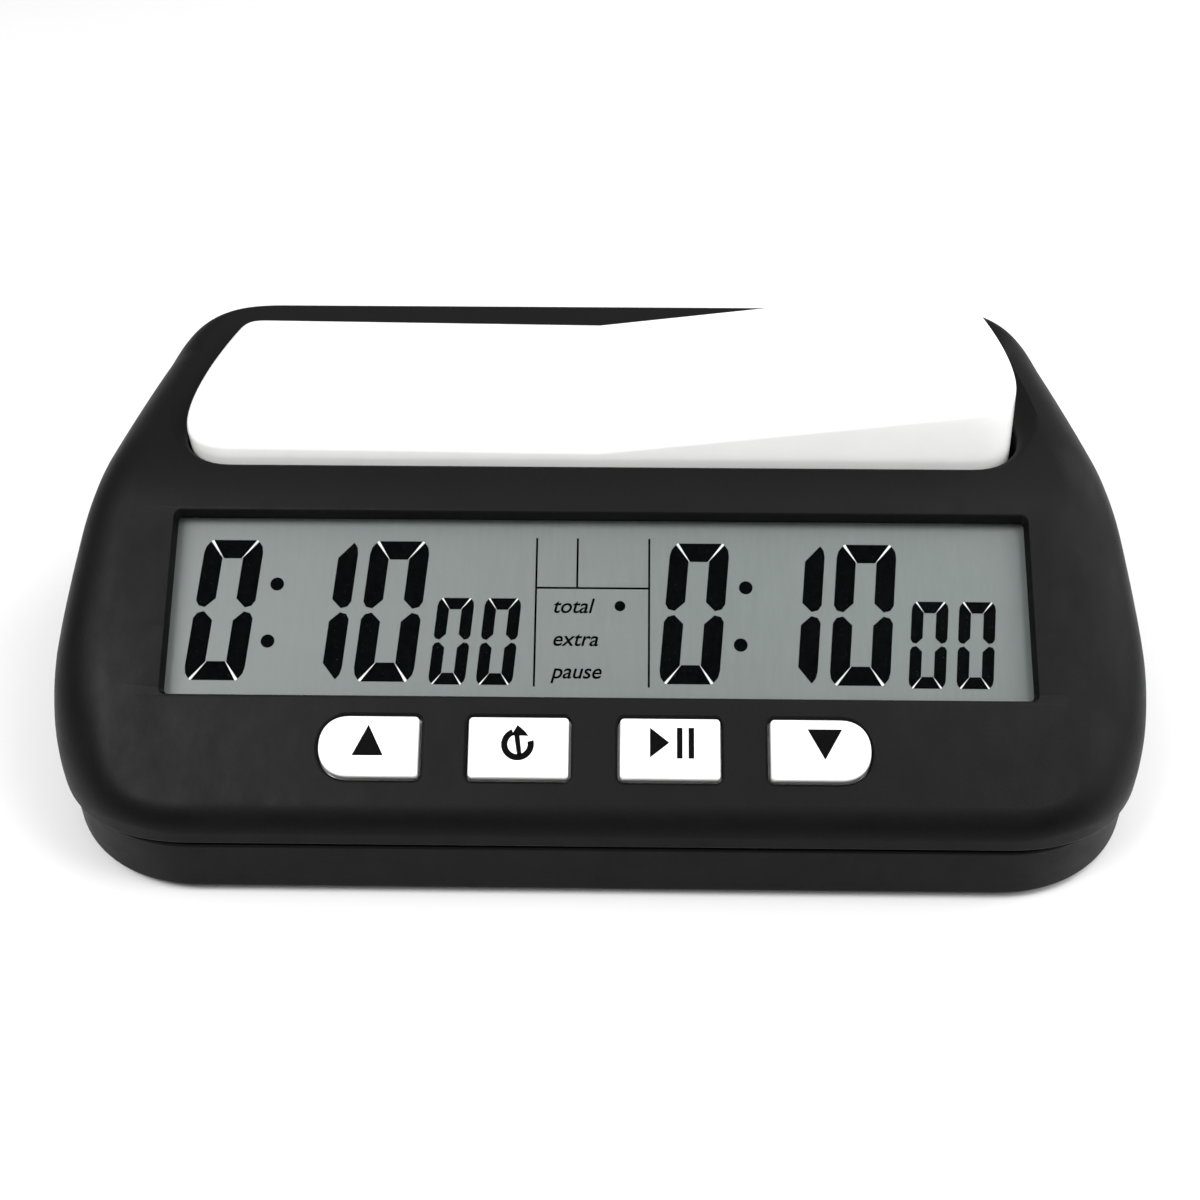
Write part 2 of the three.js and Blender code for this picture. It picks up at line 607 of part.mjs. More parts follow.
function add(name, geometry, material_, parent = group) {
  const mesh = new THREE.Mesh(geometry, material_);
  mesh.name = name;
  parent.add(mesh);
  return mesh;
}

// Case
add("upper_case", makeUpperCase(), MATERIALS.caseBlack());
add("lower_case", makeLowerCase(), MATERIALS.caseBlack());
footPlaces().forEach(([x, y], i) => {
  const names = ["foot_front_left", "foot_front_right", "foot_rear_left", "foot_rear_right"];
  add(names[i], rod(FOOT.radius, 0, FEET + FOOT.sunk - GAP, 20), MATERIALS.rubber()).position.set(x, y, 0);
});
POSTS.forEach(([x, y], i) => {
  const head = FEET + POST.seat - GAP;
  const profile = [[0, head - 1.8], [POST.head - 0.6, head - 1.8], [POST.head - 0.2, head], [1.05, head],
    [1.05, head + 11], [0, head + 12]];
  add(`case_screw_${i + 1}`, turned(profile, 12), MATERIALS.steel()).position.set(x, y, 0);
});

// Display and keys, on the sloping deck
const deck = new THREE.Group();
deck.position.set(0, DECK.y, DECK.z);
deck.rotation.x = DECK.tilt;
group.add(deck);
add("display_window", layer(LENS), MATERIALS.clear(), deck);
add("lcd_front_glass", layer(FRONT_GLASS), MATERIALS.display(), deck);
add("lcd_rear_glass", layer(REAR_GLASS), MATERIALS.display(), deck);
add("lcd_reflector", layer(REFLECTOR), MATERIALS.silver(), deck);
add("lcd_frame", makeFrame(), MATERIALS.innerBlack(), deck);
add("keypad_mat", makeKeypad(), MATERIALS.silicone(), deck);
add("main_board", layer(PCB, 1), MATERIALS.board(), deck);
for (const [name, x] of Object.entries(KEY_X)) {
  add(name, makeKey(name), MATERIALS.white(), deck).position.set(x, KEY_S, 0);
}

// Rocker
const rockerGroup = new THREE.Group();
rockerGroup.position.z = AXLE.z;
rockerGroup.rotation.y = -REST_TILT;
group.add(rockerGroup);
add("rocker", makeRocker(), MATERIALS.white(), rockerGroup);
add("rocker_well", makeWell(), MATERIALS.innerBlack());
add("rocker_axle", axle(), MATERIALS.steel()).position.z = AXLE.z;

add("rocker_snap_spring", snapSpring(), MATERIALS.steel()).position.set(
  0, SWITCH_Y, WELL.floorZ + WELL.floor + GAP);

// One plunger switch under each wing
for (const [side, sign] of [["left", -1], ["right", 1]]) {
  const body = toSolid(block(-SWITCH.half, SWITCH.half, -SWITCH.half, SWITCH.half, 0, SWITCH.height));
  const channel = rod(SWITCH.plunger + GAP, 1, SWITCH.height + 1, 12);
  add(`switch_body_${side}`, toGeometry(cut(body, channel)), MATERIALS.innerBlack())
    .position.set(sign * SWITCH_X, SWITCH_Y, SWITCH.bottom);
  const lift = sign * SWITCH_X * Math.sin(REST_TILT);
  const head = AXLE.z + PAD.low * Math.cos(REST_TILT) + lift - GAP * 2;
  const { plunger: radius, stem, tip } = SWITCH;
  const plunger = turned([[0, 0], [radius, 0], [radius, stem], [tip, stem + tip], [0, stem + tip]], 12);
  add(`switch_plunger_${side}`, plunger, MATERIALS.white())
    .position.set(sign * SWITCH_X, SWITCH_Y, head - stem - tip);
}

// Electronics on the board, in deck coordinates
const boardUnder = PCB.top - PCB.thick - GAP;
for (const [name, s] of [["zebra_strip_upper", ZEBRA.high], ["zebra_strip_lower", ZEBRA.low]]) {
  const strip = block(-ZEBRA.x, ZEBRA.x, s - ZEBRA.wide / 2, s + ZEBRA.wide / 2, ZEBRA.bottom, ZEBRA.top);
  add(name, strip, MATERIALS.silicone(), deck);
}
const chip = turned([[0, -1.9], [2.5, -1.7], [4.6, -1.1], [5.5, 0], [0, 0]], 18);
add("cob_chip", chip, MATERIALS.epoxy(), deck).position.set(0, -6, boardUnder);
const crystal = plate(roundedRectangle(-4.5, 4.5, -1.6, 1.6, 1.5), -3.2, 0);
add("crystal", crystal, MATERIALS.silver(), deck).position.set(16, -8, boardUnder);
for (const [side, sign] of [["left", -1], ["right", 1]]) {
  const can = turned([[0, -6], [2.3, -6], [2.5, -5.7], [2.5, 0], [0, 0]], 14);
  add(`capacitor_${side}`, can, MATERIALS.epoxy(), deck).position.set(sign * 30, -4, boardUnder);
  const screw = rod(2, boardUnder - 2.1, boardUnder, 12);
  add(`board_screw_${side}`, screw, MATERIALS.steel(), deck).position.set(sign * 57, -10, 0);
}
const { radius: buzzerRadius, height: buzzerTop } = BUZZER;
const buzzerHole = [[1, buzzerTop], [1, buzzerTop - 1], [0, buzzerTop - 1]];
const buzzer = turned([[0, 0], [buzzerRadius, 0], [buzzerRadius, buzzerTop], ...buzzerHole], 20);
add("buzzer", buzzer, MATERIALS.epoxy()).position.set(BUZZER.x, BUZZER.y, FEET + WALL + GAP);

// Batteries, their contacts and their cover
for (const [row, sign] of [["front", 1], ["rear", -1]]) {
  const bay = new THREE.Group();
  bay.position.set(0, CELL_Y[row], CELL_Z);
  bay.rotation.y = (sign * Math.PI) / 2;
  group.add(bay);
  const start = CELL.nubEnd - CELL.nubLength - CELL.length;
  add(`battery_cell_${row}`, cell(), MATERIALS.cell(), bay).position.z = start;
  const base = -BOX.x + GAP + 0.4;
  const spring = coil(start - GAP * 2 - 0.5 - base);
  add(`battery_spring_${row}`, spring, MATERIALS.steel(), bay).position.z = base + 0.2;
  const contact = block(-CONTACT, CONTACT, -CONTACT, CONTACT, CELL.nubEnd + GAP, BOX.x - GAP);
  add(`battery_contact_${row}`, contact, MATERIALS.steel(), bay);
}
const coverShape = roundedRectangle(-COVER.x, COVER.x, COVER.front, COVER.rear, 1);
const coverPlate = plate(coverShape, FEET, FEET + COVER.thick);
const grip = block(-GRIP.x, GRIP.x, COVER.rear - GRIP.front, COVER.rear - GRIP.rear, 0, FEET + GRIP.deep);
add("battery_cover", toGeometry(cut(toSolid(coverPlate), grip)), MATERIALS.caseBlack());

// Power switch, worked from underneath
const knob = joined(
  block(-KNOB.half, KNOB.half, -KNOB.half, KNOB.half, FEET + 0.5, FEET + WALL + 1.6),
  block(-KNOB.flangeX, KNOB.flangeX, -KNOB.flangeY, KNOB.flangeY, FEET + WALL + GAP, FEET + WALL + 1),
);
add("power_switch_knob", toGeometry(knob), MATERIALS.innerBlack())
  .position.set(POWER.x - POWER.travel / 2, POWER.y, 0);
const powerBody = block(-6, 6, -3.5, 3.5, FEET + WALL + 2, FEET + WALL + 6);
add("power_switch_body", powerBody, MATERIALS.silver()).position.set(POWER.x, POWER.y, 0);

// Leads that the case holds all the way
const positivePath = [[34, 13, 9], [38, 8, 9], [38, -4, 11], [30, -14, 12]];
const negativePath = [[-34, 13, 9], [-38, 6, 9], [-38, -4, 11], [-30, -14, 12]];
add("battery_lead_positive", tube(positivePath, LEAD), MATERIALS.red());
add("battery_lead_negative", tube(negativePath, LEAD), MATERIALS.epoxy());

export default group;
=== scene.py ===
# Looks of the chess clock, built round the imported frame. Metres; lengths typed in millimetres use MM.
import json
import math

import bmesh
import bpy
from mathutils import Matrix, Vector


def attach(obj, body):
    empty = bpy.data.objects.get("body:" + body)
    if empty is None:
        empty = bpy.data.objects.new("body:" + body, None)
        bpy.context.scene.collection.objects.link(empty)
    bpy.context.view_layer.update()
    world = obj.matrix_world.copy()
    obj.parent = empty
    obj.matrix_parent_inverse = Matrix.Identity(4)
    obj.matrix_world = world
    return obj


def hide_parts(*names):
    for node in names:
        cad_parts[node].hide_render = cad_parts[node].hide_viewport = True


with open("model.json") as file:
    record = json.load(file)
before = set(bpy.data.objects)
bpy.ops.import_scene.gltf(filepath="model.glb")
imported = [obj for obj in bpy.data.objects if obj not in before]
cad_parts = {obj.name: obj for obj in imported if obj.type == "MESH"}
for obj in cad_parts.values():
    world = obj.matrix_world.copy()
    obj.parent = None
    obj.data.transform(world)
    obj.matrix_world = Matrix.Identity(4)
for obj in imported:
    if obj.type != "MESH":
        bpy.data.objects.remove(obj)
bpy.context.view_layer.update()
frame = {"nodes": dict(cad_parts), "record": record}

MM = 0.001
DEGREE = math.pi / 180

# Case outline and heights, the same design as the CAD frame, in millimetres
FRONT_Y, REAR_Y, FRONT_X, REAR_X = -41.2, 41.2, 55, 50
WIDEST, SIDE_END = (76.2, -18), (67.8, 30)
UPPER_CORNER, LOWER_CORNER = (66.9, -34.2), (65.7, -33)  # the curve of the front corner leans on these
SIDE_PULLS, REAR_PULLS = ((WIDEST[0], -11), (71.9, 14)), ((66.3, 36.2), (60.5, REAR_Y))
FEET, WALL, PARTING_Z, GROOVE, LOWER_INSET, FLOOR_FILLET = 0.9, 2.2, 10.3, 0.8, 0.4, 1.0
SHOULDER_FRONT, SHOULDER_SIDE, SHOULDER_REAR = 2.5, 9, 1.8
GAP, CLEAR = 0.3, 0.01  # fit between pieces, and how far a cutter stands off a face that it must not share
BELOW, ABOVE = 0, 70  # heights that lie outside the case
DECK_Y, DECK_Z, TILT = -14.3, 31.2, 30.8 * DEGREE
DECK_END_Y, TOP_START_Y, TOP_START_TILT, TOP_TILT = -2.5, 9, 4.5 * DEGREE, 3.4 * DEGREE

# Display window, keys and rocker, in millimetres; the window's and keys' heights run up the sloping face
WINDOW_X, WINDOW_LOW, WINDOW_HIGH, WINDOW_CORNER, LENS_TOP = 59.1, -13.4, 12, 0.5, -1.6
BEZEL_SIDE, BEZEL_LOW, BEZEL_HIGH = 0.6, 0.5, 0.9
LENS_X, LENS_LOW, LENS_HIGH, GLASS_TOP = 60.8, -14.5, 12.6, -2.9
DECK_INNER, DECK_OUTER = -10, 5  # a cutter through the sloping face runs between these heights
KEY_S, KEY_WIDE, KEY_TALL, KEY_CORNER, KEY_PROUD = -20.95, 13.45, 8.3, 0.6, 0.9
KEY_END_FLAT, KEY_FLANGE, KEY_STEM, KEY_STEM_END = 0.1, 0.8, 2.6, -5.6
KEY_X = {"button_up": -30.65, "button_reset": -10.5, "button_play_pause": 9.8, "button_down": 29.95}
KEY_BODY = {"button_up": "key_up", "button_reset": "key_reset", "button_play_pause": "key_play_pause",
            "button_down": "key_down"}
AXLE_Z, AXLE_RADIUS = 35.2, 1.5
REST_TILT, WING_RISE, VALLEY, VALLEY_ROUND, SKIRT = 3.4 * DEGREE, 4.2 * DEGREE, 9.1, 2.5, 3.2
ROCKER = {"front_y": 4.5, "rear_y": 35.7, "front_x": 52.5, "wide_x": 59.3, "wide_y": 13, "rear_x": 55.7}
ROCKER_ROUND, ROCKER_WALL, HUB_RADIUS, PAD_LOW = 2.5, 2, 3.4, 1.2
OPENING_GAP, OPENING_LIP, BEVEL_WIDTH, BEVEL_DROP = 0.75, 1.1, 3.4, 1.5
SWITCH_X, SWITCH_Y = 24, 20

DECK = Matrix.Translation((0, DECK_Y * MM, DECK_Z * MM)) @ Matrix.Rotation(TILT, 4, "X")


# ---------------------------------------------------------------- shapes shared with the frame
def top_height(y):
    deck_z = DECK_Z + math.tan(TILT) * (min(y, DECK_END_Y) - DECK_Y)
    if y <= DECK_END_Y:
        return deck_z
    radius = (TOP_START_Y - DECK_END_Y) / (math.sin(TILT) - math.sin(TOP_START_TILT))
    sine = math.sin(TILT) - (min(y, TOP_START_Y) - DECK_END_Y) / radius
    curve_z = deck_z + radius * (math.sqrt(1 - sine * sine) - math.cos(TILT))
    return curve_z + math.tan(TOP_TILT) * max(0, y - TOP_START_Y)


def bezier(points, divisions, first=0):
    a, b, c, d = (Vector(p) for p in points)
    out = []
    for i in range(first, divisions + 1):
        t = i / divisions
        out.append(a * (1 - t) ** 3 + b * 3 * t * (1 - t) ** 2 + c * 3 * t * t * (1 - t) + d * t ** 3)
    return out


def half_outline(curves):
    """The right half of an outline, from front to rear, through curves of (control points, divisions)."""
    points = []
    for control, divisions in curves:
        points += bezier(control, divisions, 1 if points else 0)
    return points


def case_outline(corner):
    corner_x, corner_y = corner
    return half_outline([
        ([(FRONT_X, FRONT_Y), (corner_x, FRONT_Y), (WIDEST[0], corner_y), WIDEST], 36),
        ([WIDEST, *SIDE_PULLS, SIDE_END], 40),
        ([SIDE_END, *REAR_PULLS, (REAR_X, REAR_Y)], 26),
    ])


def rocker_outline(grow):
    r = ROCKER
    front, rear = r["front_y"] - grow, r["rear_y"] + grow
    wide, back = r["wide_x"] + grow, r["rear_x"] + grow
    return half_outline([
        ([(r["front_x"], front), (wide - 2.1, front), (wide, r["wide_y"] - 6), (wide, r["wide_y"])], 12),
        ([(wide, r["wide_y"]), (wide, 19.5), (back + 1.6, 27.5), (back, rear - 3.3)], 14),
        ([(back, rear - 3.3), (back - 0.7, rear - 0.8), (back - 2.1, rear), (back - 4.8, rear)], 12),
    ])


def normals(points):
    out = []
    for i, point in enumerate(points):
        before = points[i - 1] if i else Vector((0, point.y))
        after = points[i + 1] if i + 1 < len(points) else Vector((0, point.y))
        run = after - before
        out.append(Vector((run.y, -run.x)).normalized())
    return out


def offset_outline(outline, offset_at):
    return [p + n * offset_at(i) for i, (p, n) in enumerate(zip(outline, normals(outline)))]


def add_object(name, data):
    obj = bpy.data.objects.new(name, data)
    bpy.context.collection.objects.link(obj)
    return obj


def mesh_object(name, verts, faces, scale=MM):
    mesh = bpy.data.meshes.new(name)
    mesh.from_pydata([tuple(c * scale for c in v) for v in verts], [], faces)
    mesh.validate()
    return add_object(name, mesh)


def ring_solid(name, rings):
    """A closed solid through mirrored half rings, each (half outline, height(x, y, i))."""
    verts, faces = [], []
    count = len(rings[0][0])
    around = count * 2 + 2
    starts = []
    for half, height in rings:
        starts.append(len(verts))
        last = count - 1
        verts.append((0, half[0].y, height(0, half[0].y, 0)))
        verts += [(p.x, p.y, height(p.x, p.y, i)) for i, p in enumerate(half)]
        verts.append((0, half[last].y, height(0, half[last].y, last)))
        verts += [(-half[i].x, half[i].y, height(half[i].x, half[i].y, i)) for i in range(last, -1, -1)]
    for low, high in zip(starts, starts[1:]):
        for i in range(around):
            following = (i + 1) % around
            faces.append((low + i, low + following, high + following, high + i))
    for (half, height), start, up in ((rings[0], starts[0], False), (rings[-1], starts[-1], True)):
        middle = [start]
        for i in range(1, count - 1):
            verts.append((0, half[i].y, height(0, half[i].y, i)))
            middle.append(len(verts) - 1)
        middle.append(start + count + 1)
        for i in range(count - 1):
            right, left = start + 1 + i, start + around - 1 - i
            quads = [(middle[i], right, right + 1, middle[i + 1]), (left, middle[i], middle[i + 1], left - 1)]
            faces += [q if up else tuple(reversed(q)) for q in quads]
    return mesh_object(name, verts, faces)


def domed_solid(name, outline, floor, top, shoulder, inset=0, fillet=0, steps=12):
    """A flat-bottomed solid with a fillet below and rounded shoulders up to top(x, y)."""
    rings = []
    fillet_steps = 6 if fillet > 0 else 0
    for i in range(fillet_steps + 1):
        angle = i / fillet_steps * math.pi / 2 if fillet_steps else math.pi / 2
        half = offset_outline(outline, lambda k: -inset - fillet * (1 - math.sin(angle)))
        z = floor + (fillet * (1 - math.cos(angle)) if fillet_steps else 0)
        rings.append((half, lambda x, y, k, z=z: z))
    radii = [shoulder(n) for n in normals(outline)]
    for i in range(steps + 1):
        angle = i / steps * math.pi / 2
        half = offset_outline(outline, lambda k: -inset - radii[k] * (1 - math.cos(angle)))
        rings.append((half, lambda x, y, k, a=angle: top(x, y) - radii[k] * (1 - math.sin(a))))
    return ring_solid(name, rings)


def smooth(value, low, high):
    t = min(1, max(0, (value - low) / (high - low)))
    return t * t * (3 - 2 * t)


def case_shoulder(normal):
    facing = math.atan2(normal.x, -normal.y) / DEGREE
    if facing < 90:
        return SHOULDER_FRONT + (SHOULDER_SIDE - SHOULDER_FRONT) * smooth(facing, 12, 72)
    return SHOULDER_SIDE + (SHOULDER_REAR - SHOULDER_SIDE) * smooth(facing, 100, 172)


# ---------------------------------------------------------------- mesh helpers
SHARP_ANGLE = 28 * DEGREE


def apply_modifiers(obj):
    depsgraph = bpy.context.evaluated_depsgraph_get()
    mesh = bpy.data.meshes.new_from_object(obj.evaluated_get(depsgraph))
    obj.modifiers.clear()
    old = obj.data
    obj.data = mesh
    bpy.data.meshes.remove(old)
    return obj


def boolean(obj, cutters, operation="DIFFERENCE"):
    """Cuts or joins whole solids, applies the result and removes the tools."""
    for cutter in cutters:
        step = obj.modifiers.new("solid", "BOOLEAN")
        step.operation, step.solver, step.object = operation, "MANIFOLD", cutter
    apply_modifiers(obj)
    for cutter in cutters:
        bpy.data.objects.remove(cutter)
    return obj


def soften(obj):
    """Smooth shading that keeps sharp edges, with normals weighted to the large faces."""
    mesh = obj.data
    bm = bmesh.new()
    bm.from_mesh(mesh)
    bmesh.ops.remove_doubles(bm, verts=bm.verts, dist=1e-7)
    for face in bm.faces:
        face.smooth = True
    for edge in bm.edges:
        edge.smooth = len(edge.link_faces) == 2 and edge.calc_face_angle(0) < SHARP_ANGLE
    bm.to_mesh(mesh)
    bm.free()
    weighted = obj.modifiers.new("weighted", "WEIGHTED_NORMAL")
    weighted.keep_sharp = True
    return obj


def loft(name, levels):
    """A closed solid through loops of (x, y) with as many points each, at rising heights."""
    verts, faces = [], []
    count = len(levels[0][0])
    for loop, z in levels:
        verts += [(x, y, z) for x, y in loop]
    for level in range(len(levels) - 1):
        low, high = level * count, (level + 1) * count
        for i in range(count):
            following = (i + 1) % count
            faces.append((low + i, low + following, high + following, high + i))
    faces.append(tuple(reversed(range(count))))
    faces.append(tuple(range((len(levels) - 1) * count, len(levels) * count)))
    return mesh_object(name, verts, faces)


def arc(cx, cy, radius, start, end, steps):
    angles = [math.radians(start + (end - start) * i / steps) for i in range(steps + 1)]
    return [(cx + radius * math.cos(angle), cy + radius * math.sin(angle)) for angle in angles]


def rounded_rectangle(x0, x1, y0, y1, radius, steps=6):
    corners = [(x1 - radius, y0 + radius, -90), (x1 - radius, y1 - radius, 0), (x0 + radius, y1 - radius, 90),
               (x0 + radius, y0 + radius, 180)]
    return [point for x, y, start in corners for point in arc(x, y, radius, start, start + 90, steps)]


def circle(cx, cy, radius, steps=32):
    return arc(cx, cy, radius, 0, 360 - 360 / steps, steps - 1)


def block(name, x0, x1, y0, y1, z0, z1):
    return loft(name, [([(x0, y0), (x1, y0), (x1, y1), (x0, y1)], z) for z in (z0, z1)])


def lathe(name, profile, steps=32):
    """A solid of revolution about Z: the profile runs from the axis at the bottom to the axis at the top."""
    return loft(name, [(circle(0, 0, max(radius, 0.001), steps), z) for radius, z in profile])


def place(obj, matrix):
    obj.data.transform(matrix)
    return obj


def on_deck(obj):
    return place(obj, DECK)


def shifted(loop, dx, dy):
    return [(x + dx, y + dy) for x, y in loop]


def join(name, objects):
    """One object made of several solids."""
    bm = bmesh.new()
    for obj in objects:
        bm.from_mesh(obj.data)
        bpy.data.objects.remove(obj)
    mesh = bpy.data.meshes.new(name)
    bm.to_mesh(mesh)
    bm.free()
    return add_object(name, mesh)


# ---------------------------------------------------------------- materials
def new_material(name, color, roughness, **sockets):
    mat = bpy.data.materials.new("look_" + name)
    mat.use_nodes = True
    shader = mat.node_tree.nodes["Principled BSDF"]
    shader.inputs["Base Color"].default_value = (*color, 1)
    shader.inputs["Roughness"].default_value = roughness
    for socket, value in sockets.items():
        shader.inputs[socket.replace("_", " ")].default_value = value
    return mat, mat.node_tree, shader


def add_node(tree, kind, inputs=None, **attributes):
    node = tree.nodes.new(kind)
    for key, value in attributes.items():
        setattr(node, key, value)
    for socket, value in (inputs or {}).items():
        if hasattr(value, "is_output"):
            tree.links.new(value, node.inputs[socket])
        else:
            node.inputs[socket].default_value = value
    return node


def noise(tree, scale, detail=3, roughness=0.55, stretch=(1, 1, 1)):
    coordinates = add_node(tree, "ShaderNodeTexCoord").outputs["Object"]
    mapping = add_node(tree, "ShaderNodeMapping", {"Vector": coordinates, "Scale": stretch})
    return add_node(tree, "ShaderNodeTexNoise", {
        "Vector": mapping.outputs["Vector"], "Scale": scale, "Detail": detail, "Roughness": roughness,
    }).outputs["Fac"]


def remap(tree, value, low, high, from_low=0.3, from_high=0.7):
    return add_node(tree, "ShaderNodeMapRange", {
        "Value": value, "From Min": from_low, "From Max": from_high, "To Min": low, "To Max": high,
    }).outputs["Result"]


def mix_colors(tree, factor, first, second):
    node = add_node(tree, "ShaderNodeMix", data_type="RGBA")
    tree.links.new(factor, node.inputs[0])
    for index, value in ((6, first), (7, second)):
        if hasattr(value, "is_output"):
            tree.links.new(value, node.inputs[index])
        else:
            node.inputs[index].default_value = (*value, 1)
    return node.outputs[2]


def scaled(color, share):
    return tuple(c * share for c in color)


def paint(tree, shader, pattern, first, second):
    """Base colour that wanders between two tones."""
    tree.links.new(mix_colors(tree, remap(tree, pattern, 0, 1), first, second), shader.inputs["Base Color"])


def roughen(tree, shader, pattern, low, high):
    tree.links.new(remap(tree, pattern, low, high), shader.inputs["Roughness"])


def add_bump(tree, shader, height, strength, distance):
    """Fine relief, with the distance in metres."""
    bump = add_node(tree, "ShaderNodeBump", {"Height": height, "Strength": strength, "Distance": distance})
    tree.links.new(bump.outputs["Normal"], shader.inputs["Normal"])
    return bump


def moulded_black(name="case_black", grain=2600, color=(0.0016, 0.0016, 0.0017), strength=0.28):
    """Matte ABS from a spark-eroded mould: a fine pebble grain, cloudy gloss and a few faint rub marks."""
    mat, tree, shader = new_material(name, color, 0.5, Specular_IOR_Level=0.1)
    pebbles = noise(tree, grain, 2.5, 0.6)
    clouds = noise(tree, 55, 4)
    rubs = noise(tree, 240, 5, 0.7, (1, 0.25, 1))
    tint = mix_colors(tree, remap(tree, clouds, 0, 1), color, scaled(color, 1.28))
    speckled = mix_colors(tree, remap(tree, pebbles, 0, 1, 0.45, 0.8), tint, scaled(color, 1.7))
    tree.links.new(speckled, shader.inputs["Base Color"])
    cloudy, rubbed = remap(tree, clouds, 0, 0.07), remap(tree, rubs, 0.38, 0.5)
    gloss = add_node(tree, "ShaderNodeMath", {0: cloudy, 1: rubbed}, operation="ADD")
    tree.links.new(gloss.outputs[0], shader.inputs["Roughness"])
    add_bump(tree, shader, pebbles, strength, 0.00006)
    return mat


def polished_white():
    """Polished white ABS: a clear gloss with soft moulding waves, handling haze and hairline scratches."""
    color, roughness = (0.87, 0.87, 0.86), 0.13
    mat, tree, shader = new_material("white_gloss", color, roughness, Coat_Weight=0.25, Coat_Roughness=0.06,
                                     Subsurface_Weight=0.08, Subsurface_Radius=(0.0012, 0.0011, 0.001))
    waves = noise(tree, 45, 1)
    haze = noise(tree, 130, 5, 0.65)
    hairlines = noise(tree, 900, 2, 0.5, (0.06, 1, 1))
    paint(tree, shader, haze, color, scaled(color, 0.965))
    roughen(tree, shader, haze, roughness * 0.8, roughness * 1.7)
    soft = add_bump(tree, shader, waves, 0.12, 0.0004)
    fine = add_node(tree, "ShaderNodeBump", {"Height": hairlines, "Strength": 0.05, "Distance": 0.00003,
                                             "Normal": soft.outputs["Normal"]})
    tree.links.new(fine.outputs["Normal"], shader.inputs["Normal"])
    return mat


def display_grey():
    """Reflective liquid crystal: grey-green polariser over a finely brushed reflector."""
    # The base colour darkens from left to right across the display: a painted shading ramp for how the light
    # falls
    left, right = (0.134, 0.148, 0.143), (0.104, 0.124, 0.118)
    mat, tree, shader = new_material("display", left, 0.42, Specular_IOR_Level=0.3)
    spot = add_node(tree, "ShaderNodeTexCoord").outputs["Object"]
    across = add_node(tree, "ShaderNodeSeparateXYZ", {"Vector": spot}).outputs["X"]
    shade_ramp = mix_colors(tree, remap(tree, across, 0, 1, -0.06, 0.06), left, right)
    fibres = noise(tree, 1500, 2, 0.6, (1, 0.12, 0.12))
    mottled = mix_colors(tree, remap(tree, noise(tree, 60, 3), 0, 1), shade_ramp, (0.120, 0.137, 0.133))
    tree.links.new(mix_colors(tree, remap(tree, fibres, 0, 0.35), mottled, (0.144, 0.160, 0.153)),
                   shader.inputs["Base Color"])
    roughen(tree, shader, fibres, 0.36, 0.5)
    add_bump(tree, shader, fibres, 0.05, 0.00003)
    return mat


def segment_black():
    mat, tree, shader = new_material("segment_black", (0.001, 0.0015, 0.0015), 0.5, Specular_IOR_Level=0.0)
    edge = noise(tree, 900, 2)
    paint(tree, shader, edge, (0.0006, 0.001, 0.001), (0.0016, 0.002, 0.0021))
    return mat


def printed_black():
    mat, tree, shader = new_material("print_black", (0.002, 0.002, 0.0022), 0.5, Specular_IOR_Level=0.02)
    ink = noise(tree, 2200, 3)
    paint(tree, shader, ink, (0.0012, 0.0012, 0.0014), (0.003, 0.003, 0.0033))
    roughen(tree, shader, ink, 0.42, 0.6)
    add_bump(tree, shader, ink, 0.15, 0.00002)
    return mat


def clear_lens():
    mat, tree, shader = new_material("window_clear", (0.02, 0.022, 0.021), 0.05, Alpha=0.015,
                                     Specular_IOR_Level=0.05)
    smears = noise(tree, 70, 4)
    roughen(tree, shader, smears, 0.03, 0.09)
    return mat


def rubber_black():
    mat, tree, shader = new_material("rubber", (0.014, 0.014, 0.014), 0.8, Specular_IOR_Level=0.3)
    crumbs = noise(tree, 1600, 4, 0.7)
    paint(tree, shader, crumbs, (0.012, 0.012, 0.012), (0.028, 0.027, 0.026))
    roughen(tree, shader, crumbs, 0.7, 0.95)
    add_bump(tree, shader, crumbs, 0.3, 0.00008)
    return mat


def metal(name, color, roughness):
    mat, tree, shader = new_material(name, color, roughness, Metallic=1.0)
    brush = noise(tree, 1800, 3, 0.6, (1, 1, 0.05))
    paint(tree, shader, brush, color, scaled(color, 0.78))
    roughen(tree, shader, brush, roughness * 0.75, roughness * 1.4)
    add_bump(tree, shader, brush, 0.08, 0.00002)
    return mat


def plain_plastic(name, color, roughness, scale=900):
    mat, tree, shader = new_material(name, color, roughness)
    grain = noise(tree, scale, 4)
    paint(tree, shader, grain, color, scaled(color, 0.8))
    roughen(tree, shader, grain, roughness * 0.85, min(1, roughness * 1.2))
    add_bump(tree, shader, grain, 0.1, 0.00005)
    return mat


def wear(obj, mat, body, *replaced):
    """Gives a piece its material and body, and hides the frame nodes that it stands for."""
    obj.data.materials.clear()
    obj.data.materials.append(mat)
    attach(obj, body)
    if replaced:
        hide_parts(*replaced)
    return obj


CASE_BLACK = moulded_black()
INNER_BLACK = moulded_black("inner_black", 1800, (0.003, 0.003, 0.0032), 0.2)
WHITE = polished_white()
DISPLAY = display_grey()
SEGMENT = segment_black()
PRINT = printed_black()
LENS = clear_lens()
RUBBER = rubber_black()
STEEL = metal("steel", (0.62, 0.62, 0.63), 0.3)
SILVER = metal("silver", (0.74, 0.75, 0.76), 0.35)


